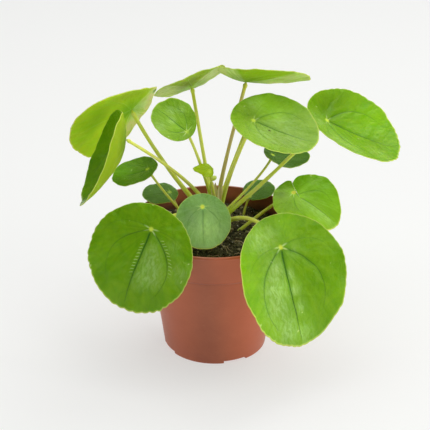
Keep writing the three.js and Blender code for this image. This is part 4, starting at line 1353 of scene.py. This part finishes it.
def leaf_values(tree):
    """Every number and place that the leaf's shader reads, by name."""
    value = {}
    for label in ("rib", "side", "outer", "edge", "painted_reflection", "under", "lip", "painted_gloss", "speck"):
        value[label] = add_node(tree, "ShaderNodeAttribute", {
            "attribute_name": label}).outputs["Fac"]
    for label in ("flat", "fan", "ladder", "traits"):
        value[label] = add_node(tree, "ShaderNodeAttribute", {
            "attribute_name": label}).outputs["Vector"]
    for label, parts in (("ladder", ("beside", "along", "puckered")),
                         ("traits", ("tone", "veins", "dotted"))):
        split = add_node(tree, "ShaderNodeSeparateXYZ", inputs={0: value[label]})
        value.update(zip(parts, split.outputs))
    for label in ("rib", "side", "outer", "lip"):
        value[label] = add_node(tree, "ShaderNodeMath", {"operation": "ABSOLUTE"}, {
            0: value[label]}).outputs[0]
    plane = add_node(tree, "ShaderNodeVectorMath", {"operation": "MULTIPLY"}, {
        0: value["flat"], 1: (1, 1, 0)})
    value["out"] = add_node(tree, "ShaderNodeVectorMath", {"operation": "LENGTH"}, {
        0: plane.outputs[0]}).outputs["Value"]

    # a bent place for the small veins, and one that mirrors ripples slanting off the midrib
    bend = add_node(tree, "ShaderNodeTexNoise", inputs={
        "Vector": value["flat"], "Scale": 0.16, "Detail": 2})
    value["bent"] = add_node(tree, "ShaderNodeVectorMath", {"operation": "MULTIPLY_ADD"}, {
        0: bend.outputs["Color"], 1: (6, 6, 0), 2: value["flat"]}).outputs[0]
    halves = add_node(tree, "ShaderNodeVectorMath", {"operation": "ABSOLUTE"}, {0: value["bent"]})
    value["oblique"] = add_node(tree, "ShaderNodeMapping", inputs={
        "Vector": halves.outputs[0], "Rotation": (0, 0, -0.95),
        "Scale": (0.2, 0.55, 1)}).outputs["Vector"]
    for label, place, scale, detail, rough in LEAF_NOISES:
        value[label] = add_node(tree, "ShaderNodeTexNoise", inputs={
            "Vector": value[place], "Scale": scale, "Detail": detail,
            "Roughness": rough}).outputs["Fac"]
    for label, feature, size in LEAF_NETS:
        value[label] = add_node(tree, "ShaderNodeTexVoronoi", {"feature": feature}, {
            "Vector": value["bent"], "Scale": 1 / size}).outputs["Distance"]
    return value


print("leaf noises:", [row[0] for row in LEAF_NOISES])

# %% Leaf masks
LEAF_MASKS = (               # name, what it reads, where it starts and ends, its value at both ends
    ("rib", "rib", 0.3, 1.3, 1, 0), ("side", "side", 0.3, 1.3, 1, 0),
    # the two flank masks give painted shade along the sunken rib and side veins
    ("outer", "outer", 0.2, 1.8, 1, 0), ("painted rib shade", "rib", 0.8, 4.5, 1, 0),
    ("painted side shade", "side", 0.8, 4.5, 1, 0), ("net", "wide net", 0, 0.09, 1, 0),
    ("fine", "fine net", 0, 0.3, 0, 1), ("pore", "pores", 0.035, 0.085, 0.8, 0),
    ("dot", "out", 0.8, 2.3, 1, 0), ("halo", "out", 1.2, 4.0, 0.45, 0),
    ("ray reach", "out", 2.0, 7.0, 1, 0), ("hub patch", "out", 3, 20, 0.5, 0),
    ("ladder start", "beside", 0.4, 1.1, 0, 1), ("ladder end", "beside", 2.6, 4.4, 1, 0),
    ("ladder out", "out", 7, 12, 0, 1), ("ladder stop", "out", 30, 44, 1, 0),
    # the pale rim is partly the leaf's own colour and partly a painted highlight
    ("lip", "lip", 0.3, 1.2, 1, 0), ("margin", "edge", 0.976, 0.992, 0, 0.85),
    # the speck is a brown bruise above; on the underside of high_left it is painted shade where the
    # margin curls over
    ("speck", "speck", 0.4, 1.3, 0.8, 0), ("streak", "pucker", 0.38, 0.64, 0.35, 1),
    ("ray light", "rays", 0.38, 0.68, 0, 0.5), ("cloud light", "cloud", 0.35, 0.7, 0, 0.45),
    # the stripes break up the painted reflection on the underside
    ("under ray", "rays", 0.35, 0.65, 0, 0.4), ("stripe", "rays", 0.46, 0.58, 0, 0.5),
)
MASK_PRODUCTS = (            # name, and the masks that are multiplied, in this order
    ("rib", "rib", "veins"), ("side", "side", "veins"), ("outer", "outer", "veins"),
    # painted shade along the veins fades with them
    ("painted rib shade", "painted rib shade", "veins"), ("painted side shade", "painted side shade", "veins"),
    # the streaked patches of painted gloss are a painted highlight
    ("dot", "dot", "dotted"), ("halo", "halo", "dotted"), ("painted_gloss", "streak", "painted_gloss"),
    # stripes only within the painted reflection
    ("stripe", "stripe", "painted_reflection"), ("ladder", "ladder start", "ladder end"),
    ("ladder", "ladder", "ladder out"), ("ladder", "ladder", "ladder stop"),
    ("ladder", "ladder", "puckered"),
)
LADDER_STEP = 2.4            # mm from one pucker to the next beside a main vein
LADDER_SLANT = -0.5          # how far the puckers lean back as they leave the vein
LADDER_BEND = 2.5            # mm by which the dimples bend them


def leaf_masks(tree, value):
    """A mask for each layer and height, by name."""
    mask = {label: value[label] for label in ("veins", "dotted", "puckered", "painted_gloss", "painted_reflection")}
    for label, source, start, end, first, last in LEAF_MASKS:
        mask[label] = add_node(tree, "ShaderNodeMapRange", {"interpolation_type": "SMOOTHSTEP"}, {
            "Value": value[source], "From Min": start, "From Max": end, "To Min": first,
            "To Max": last}).outputs["Result"]
    for label, first, second in MASK_PRODUCTS:
        mask[label] = add_node(tree, "ShaderNodeMath", {"operation": "MULTIPLY"}, {
            0: mask[first], 1: mask[second]}).outputs[0]
    laterals = add_node(tree, "ShaderNodeMath", {"operation": "MAXIMUM"}, {
        0: mask["side"], 1: mask["outer"]})
    mask["ray"] = add_node(tree, "ShaderNodeMath", {"operation": "MULTIPLY"}, {
        0: mask["ray reach"], 1: laterals.outputs[0]}).outputs[0]

    # puckers beside the main veins: a wave along the vein, slanted and bent a little
    phase = value["along"]
    for source, weight in (("beside", LADDER_SLANT), ("dimple", LADDER_BEND)):
        phase = add_node(tree, "ShaderNodeMath", {"operation": "MULTIPLY_ADD"}, {
            0: value[source], 1: weight, 2: phase}).outputs[0]
    phase = add_node(tree, "ShaderNodeMath", {"operation": "MULTIPLY"}, {
        0: phase, 1: 2 * math.pi / LADDER_STEP}).outputs[0]
    wave = add_node(tree, "ShaderNodeMath", {"operation": "SINE"}, {0: phase}).outputs[0]
    mask["ladder"] = add_node(tree, "ShaderNodeMath", {"operation": "MULTIPLY"}, {
        0: wave, 1: mask["ladder"]}).outputs[0]
    # painted highlights on the crests of the puckers
    mask["painted_crest_glint"] = add_node(tree, "ShaderNodeMapRange", {"interpolation_type": "SMOOTHSTEP"}, {
        "Value": mask["ladder"], "From Min": 0.45, "From Max": 0.95,
        "To Max": 0.75}).outputs["Result"]
    return mask


print("leaf masks:", len(LEAF_MASKS))

# %% Leaf colours and layers
LEAF_COLOURS = {             # upper, light, groove, under, and the painted reflection on the underside
    "bright": (0x76aa0c, 0x94be1c, 0x3c7620, 0xa4be1c, 0xccdc88),
    "fresh": (0x84b01c, 0xa2c83c, 0x4a8424, 0xacc028, 0xccdc88),
    "young": (0xa2b80a, 0xaccc30, 0x5c8410, 0xa8c020, 0xc0d870),
    # cool is a pale blue-green: partly the leaf's own colour and partly a painted reflection of broad
    # sheen on front_centre, which wears it
    "cool": (0x7aa450, 0x96bc74, 0x4c7838, 0x93ad62, 0xb0c492),
    # dark is a darker green for the small leaves that sit in the shade of others, and its darkness is
    # painted shade
    "dark": (0x557f20, 0x729a40, 0x2c4c16, 0x7d9a44, 0x9db074),
}
# the pale edge colour along a slit is a painted highlight
DETAIL_COLOURS = {"hub": 0xe6ff58, "ray": 0xd4ec94, "margin": 0xd0e070, "torn": 0xeef2c8,
                  # the waxy colour is the painted gloss, a painted highlight
                  "pore": 0xcfe28a, "waxy": 0xc6e68c, "bruise": 0x4a3412}
UPPER_LAYERS = (             # mask, weight and colour, from the first coat to the last
    ("ray light", 1, "light"), ("cloud light", 1, "light"), ("net", 0.09, "groove"),
    # the layer in the waxy colour is the painted gloss, a painted highlight
    ("painted_gloss", 0.75, "waxy"), ("pore", 1, "pore"), ("painted rib shade", 0.28, "groove"),
    # the groove-coloured flank bands here and above are painted shade along the sunken veins
    ("painted side shade", 0.2, "groove"), ("outer", 0.22, "groove"), ("side", 0.6, "groove"),
    # the pale crests of the puckers are a painted highlight
    ("rib", 0.85, "groove"), ("painted_crest_glint", 0.8, "ray"), ("ray", 1, "ray"), ("halo", 1, "light"),
    ("dot", 1, "hub"), ("speck", 1, "bruise"),
)
UNDER_LAYERS = (
    # the pale sector is a painted reflection of the white table
    ("under ray", 1, "light"), ("painted_reflection", 1, "painted_reflection_tone"), ("stripe", 1, "under"),
    ("rib", 0.3, "ray"), ("side", 0.25, "ray"), ("hub patch", 1, "groove"),
    # on the underside of high_left this dark spot is painted shade where the margin curls over
    ("speck", 1, "groove"),
)
# the pale rim is partly the leaf's own and partly a painted highlight; the pale edge along a slit is a
# painted highlight
EDGE_LAYERS = (("margin", 1, "margin"), ("lip", 1, "torn"))
LEAF_HEIGHTS = (             # mask or noise, and its height in tenths of a millimetre
    ("rib", -2.2), ("side", -1.6), ("outer", -0.5), ("net", -0.4), ("fine", 0.3), ("cells", 0.5),
    ("rays", 2.4), ("dimple", 3.6), ("pucker", 2.6), ("painted_gloss", 2.0), ("ladder", 0.8),
)
print("layers on a leaf:", len(UPPER_LAYERS), "above and", len(UNDER_LAYERS), "below")

# %% Leaf material
def paint(tree, tone, layers, mask, colour):
    """A tone with layers of colour painted over it, each through its mask."""
    for label, weight, name in layers:
        share = mask[label]
        if weight != 1:
            share = add_node(tree, "ShaderNodeMath", {"operation": "MULTIPLY"}, {
                0: share, 1: weight}).outputs[0]
        tone = add_node(tree, "ShaderNodeMix", {"data_type": "RGBA"}, {
            0: share, 6: tone, 7: colour[name]}).outputs[2]
    return tone


def leaf_material(name, colours):
    """A waxy leaf, light and dark by its own traits, whose light scatters inside it."""
    material, tree = new_material(name)
    value = leaf_values(tree)
    mask = leaf_masks(tree, value)
    colour = dict(zip(("upper", "light", "groove", "under", "painted_reflection_tone"), colours))
    colour = {label: linear(shade) for label, shade in {**colour, **DETAIL_COLOURS}.items()}
    above = paint(tree, colour["upper"], UPPER_LAYERS, mask, colour)
    below = paint(tree, colour["under"], UNDER_LAYERS, mask, colour)
    tone = add_node(tree, "ShaderNodeMix", {"data_type": "RGBA"}, {
        0: value["under"], 6: above, 7: below}).outputs[2]
    tone = paint(tree, tone, EDGE_LAYERS, mask, colour)
    tone = add_node(tree, "ShaderNodeVectorMath", {"operation": "SCALE"}, {
        0: tone, "Scale": value["tone"]}).outputs["Vector"]

    height = 0.0
    for label, tall in LEAF_HEIGHTS:
        height = add_node(tree, "ShaderNodeMath", {"operation": "MULTIPLY_ADD"}, {
            0: mask.get(label, value.get(label)), 1: tall, 2: height}).outputs[0]
    sign = add_node(tree, "ShaderNodeMath", {"operation": "MULTIPLY_ADD"}, {
        0: value["under"], 1: -2.0, 2: 1.0}).outputs[0]      # a dent above is a bulge below
    height = add_node(tree, "ShaderNodeMath", {"operation": "MULTIPLY"}, {
        0: height, 1: sign}).outputs[0]
    bump = add_node(tree, "ShaderNodeBump", inputs={
        "Height": height, "Strength": 1.0, "Distance": 0.1 * MM})
    gloss = add_node(tree, "ShaderNodeMapRange", inputs={
        "Value": value["cells"], "From Min": 0.3, "From Max": 0.7, "To Min": 0.22,
        "To Max": 0.36}).outputs["Result"]
    gloss = add_node(tree, "ShaderNodeMath", {"operation": "MULTIPLY_ADD"}, {
        0: value["under"], 1: 0.45, 2: gloss}).outputs[0]    # the underside is duller
    finish_material(tree, add_node(tree, "ShaderNodeBsdfPrincipled", inputs={
        "Base Color": tone, "Roughness": gloss, "IOR": 1.45, "Normal": bump.outputs["Normal"],
        "Specular IOR Level": 0.18, "Subsurface Weight": 0.7,
        "Subsurface Radius": (0.7, 1.0, 0.16), "Subsurface Scale": 1.8 * MM}))
    return material


leaf_materials = {name: leaf_material(f"waxy leaf, {name}", colours)
                  for name, colours in LEAF_COLOURS.items()}
print("leaf materials:", list(leaf_materials))

# %% [markdown]
# ## The stalks
#
# A stalk is a smooth, slightly ribbed, juicy stem that tapers a little, swells where it leaves the
# main stem and spreads under the blade. It bends once, so its path is a curve pulled towards one bend
# point. It is full of water, so light scatters inside it, and its skin has a soft gloss. Its colour
# runs from olive near the crown to yellow-green under the blade, and one stalk is tinged brown.

# %% Stalk material
STALK_COLOURS = {            # foot, middle, top, tinge
    "green": (0xc4e03c, 0xecf668, 0xeef864, 0xf4f4b0),
    "brown": (0xccd050, 0xdac880, 0xecee50, 0xe6dca8),
}


def stalk_material(name, colours):
    """A juicy stalk with three tones along it, pale streaks and small dark flecks."""
    foot, middle, top, tinge = (linear(c) for c in colours)
    material, tree = new_material(name)
    value = {"along": add_node(tree, "ShaderNodeAttribute", {
        "attribute_name": "along"}).outputs["Fac"]}
    grain = add_node(tree, "ShaderNodeAttribute", {"attribute_name": "grain"}).outputs["Vector"]
    for label, scale, detail, rough in (
            ("streak", (2.2, 2.2, 0.09), 3, 0.6),      # streaks about 11 mm long
            ("fleck", (3, 3, 1.2), 2, 0.5)):           # flecks under 1 mm long
        place = add_node(tree, "ShaderNodeMapping", inputs={"Vector": grain, "Scale": scale})
        value[label] = add_node(tree, "ShaderNodeTexNoise", inputs={
            "Vector": place.outputs["Vector"], "Scale": 1, "Detail": detail,
            "Roughness": rough}).outputs["Fac"]
    tone = foot
    for label, curve, start, end, most, colour in (
            ("along", "SMOOTHSTEP", 0.0, 0.35, 1, middle),
            ("along", "SMOOTHSTEP", 0.82, 0.98, 1, top),
            ("streak", "LINEAR", 0.45, 0.7, 0.6, tinge),
            ("fleck", "LINEAR", 0.62, 0.75, 0.4, foot)):
        share = add_node(tree, "ShaderNodeMapRange", {"interpolation_type": curve}, {
            "Value": value[label], "From Min": start, "From Max": end, "To Max": most})
        tone = add_node(tree, "ShaderNodeMix", {"data_type": "RGBA"}, {
            0: share.outputs["Result"], 6: tone, 7: colour}).outputs[2]
    bump = add_node(tree, "ShaderNodeBump", inputs={
        "Height": value["streak"], "Strength": 0.35, "Distance": 0.3 * MM})
    finish_material(tree, add_node(tree, "ShaderNodeBsdfPrincipled", inputs={
        "Base Color": tone, "Roughness": 0.42, "IOR": 1.45, "Normal": bump.outputs["Normal"],
        "Specular IOR Level": 0.4, "Subsurface Weight": 0.8, "Subsurface Radius": (0.9, 1.0, 0.3),
        "Subsurface Scale": 2.5 * MM}))
    return material


stalk_materials = {name: stalk_material(f"juicy stalk, {name}", colours)
                   for name, colours in STALK_COLOURS.items()}
print("stalk materials:", list(stalk_materials))

# %% Stalk mesh
STALK_STEPS = 72
STALK_TAPER = 1.6            # the taper ends 1 / 1.6 of the way up
SOCKET_RADIUS = 3.4          # mm from the main stem's axis, where a stalk starts inside it
SOIL_DEPTH = 4.0             # mm under the soil, where the other stalks start
BLADE_SINK = 0.05            # mm by which a stalk's end stands up from the hub
CLEARANCE = 0.9              # mm kept between the last part of a stalk and its blade


def stalk_root(leaf):
    if "soil" in leaf:
        return np.array([*leaf["soil"], SOIL_LEVEL / MM - SOIL_DEPTH])
    turn, height = math.radians(leaf["stem"][0]), leaf["stem"][1]
    return np.array([STEM_X / MM + SOCKET_RADIUS * math.cos(turn),
                     SOCKET_RADIUS * math.sin(turn), height])


def stalk_piece(leaf, number, material):
    """A fine stalk from its root, by way of its bend, to just inside its blade."""
    up = np.array(leaf_axes(leaf)[2])
    hub = np.array(leaf["hub"]) + BLADE_SINK * up
    centres = bezier([stalk_root(leaf), leaf["via"], hub], STALK_STEPS)
    base, top = leaf["thick"]
    radii = base + (top - base) * np.minimum(1, STALK_TAPER * np.linspace(0, 1, STALK_STEPS))
    reach = np.r_[0, np.cumsum(np.linalg.norm(np.diff(centres, axis=0), axis=1))]
    left = reach[-1] - reach                # mm left to go
    last = centres[-1] - centres[-4]
    lean = last.dot(up) / np.linalg.norm(last)
    if lean > 0:                            # keep the last part of the stalk under the blade
        sink = np.maximum(0, top + CLEARANCE - left * lean) * (1 - np.exp(-(left / 1.3) ** 2))
        centres = centres - np.outer(sink * np.exp(-(left / 14) ** 2), up)
    radii *= 1 + 0.22 * np.exp(-reach / 5.0) + 0.4 * np.exp(-((left - 2) / 1.2) ** 2)
    radii *= 1 - 0.7 * np.exp(-(left / 1.3) ** 2)          # rounded off inside the blade
    radii *= 1 + 0.015 * np.sin(reach / 3.1 + number)
    points, faces, lengths, around = tube(centres * MM, radii * MM, sides=24, ribs=0.035)
    return new_piece(f"petiole_{leaf['name']}", points, faces, material,
                     [f"stalk_{leaf['name']}"], {
                         "along": lengths / lengths.max(),
                         "grain": np.c_[around, lengths / MM + 40 * number]})


print("rings on a stalk:", STALK_STEPS)

# %% [markdown]
# ## A second bud
#
# Beside the youngest leaf stands a bud that is still closed: a knob on a thin hooked stalk. It is one
# tube along a bent path whose radius swells at the end.

# %% The closed bud
BUD_PATH_MM = [(-2.4, -6, 120), (-3.6, -12, 130), (-4.8, -19, 141.8), (1.2, -19, 143.2)]
BUD_STEPS = 60
BUD_STALK, BUD_KNOB, BUD_TIP = 0.5, 1.75, 0.1          # radii in mm
KNOB_MIDDLE, KNOB_HALF, STALK_END = 0.87, 0.13, 0.9    # shares of the way

share = np.linspace(0, 1, BUD_STEPS)
knob = BUD_KNOB * np.sqrt(np.clip(1 - ((share - KNOB_MIDDLE) / KNOB_HALF) ** 2, 0, 1))
radii = np.maximum(np.maximum(BUD_STALK * (share < STALK_END), knob), BUD_TIP)
points, faces, lengths, around = tube(bezier(BUD_PATH_MM, BUD_STEPS) * MM, radii * MM, sides=16)
new_piece("bud_nub", points, faces, stalk_materials["green"], [], {
    "along": 0.1 * lengths / lengths.max(), "grain": np.c_[around, lengths / MM]})
print("bud length, mm:", round(lengths.max() / MM))

# %% [markdown]
# ## Every leaf
#
# Now each row of the leaf table becomes a blade and a stalk. A fine blade has to fill the box of the
# frame's blade that it replaces, so the gap between the two boxes is printed.

# %% Make every leaf
for number, leaf in enumerate(LEAVES):
    blade = blade_piece(leaf, number, leaf_materials[leaf.get("look", leaf["finish"])])
    stalk_piece(leaf, number, stalk_materials[leaf.get("stalk", "green")])
    low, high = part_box(f"blade_{leaf['name']}")
    mine = np.array([v.co for v in blade.data.vertices])
    off = max(abs(mine.min(0) - np.array(low)).max(), abs(mine.max(0) - np.array(high)).max())
    print(f"{leaf['name']}: {len(blade.data.polygons)} faces, box within {off / MM:.1f} mm")
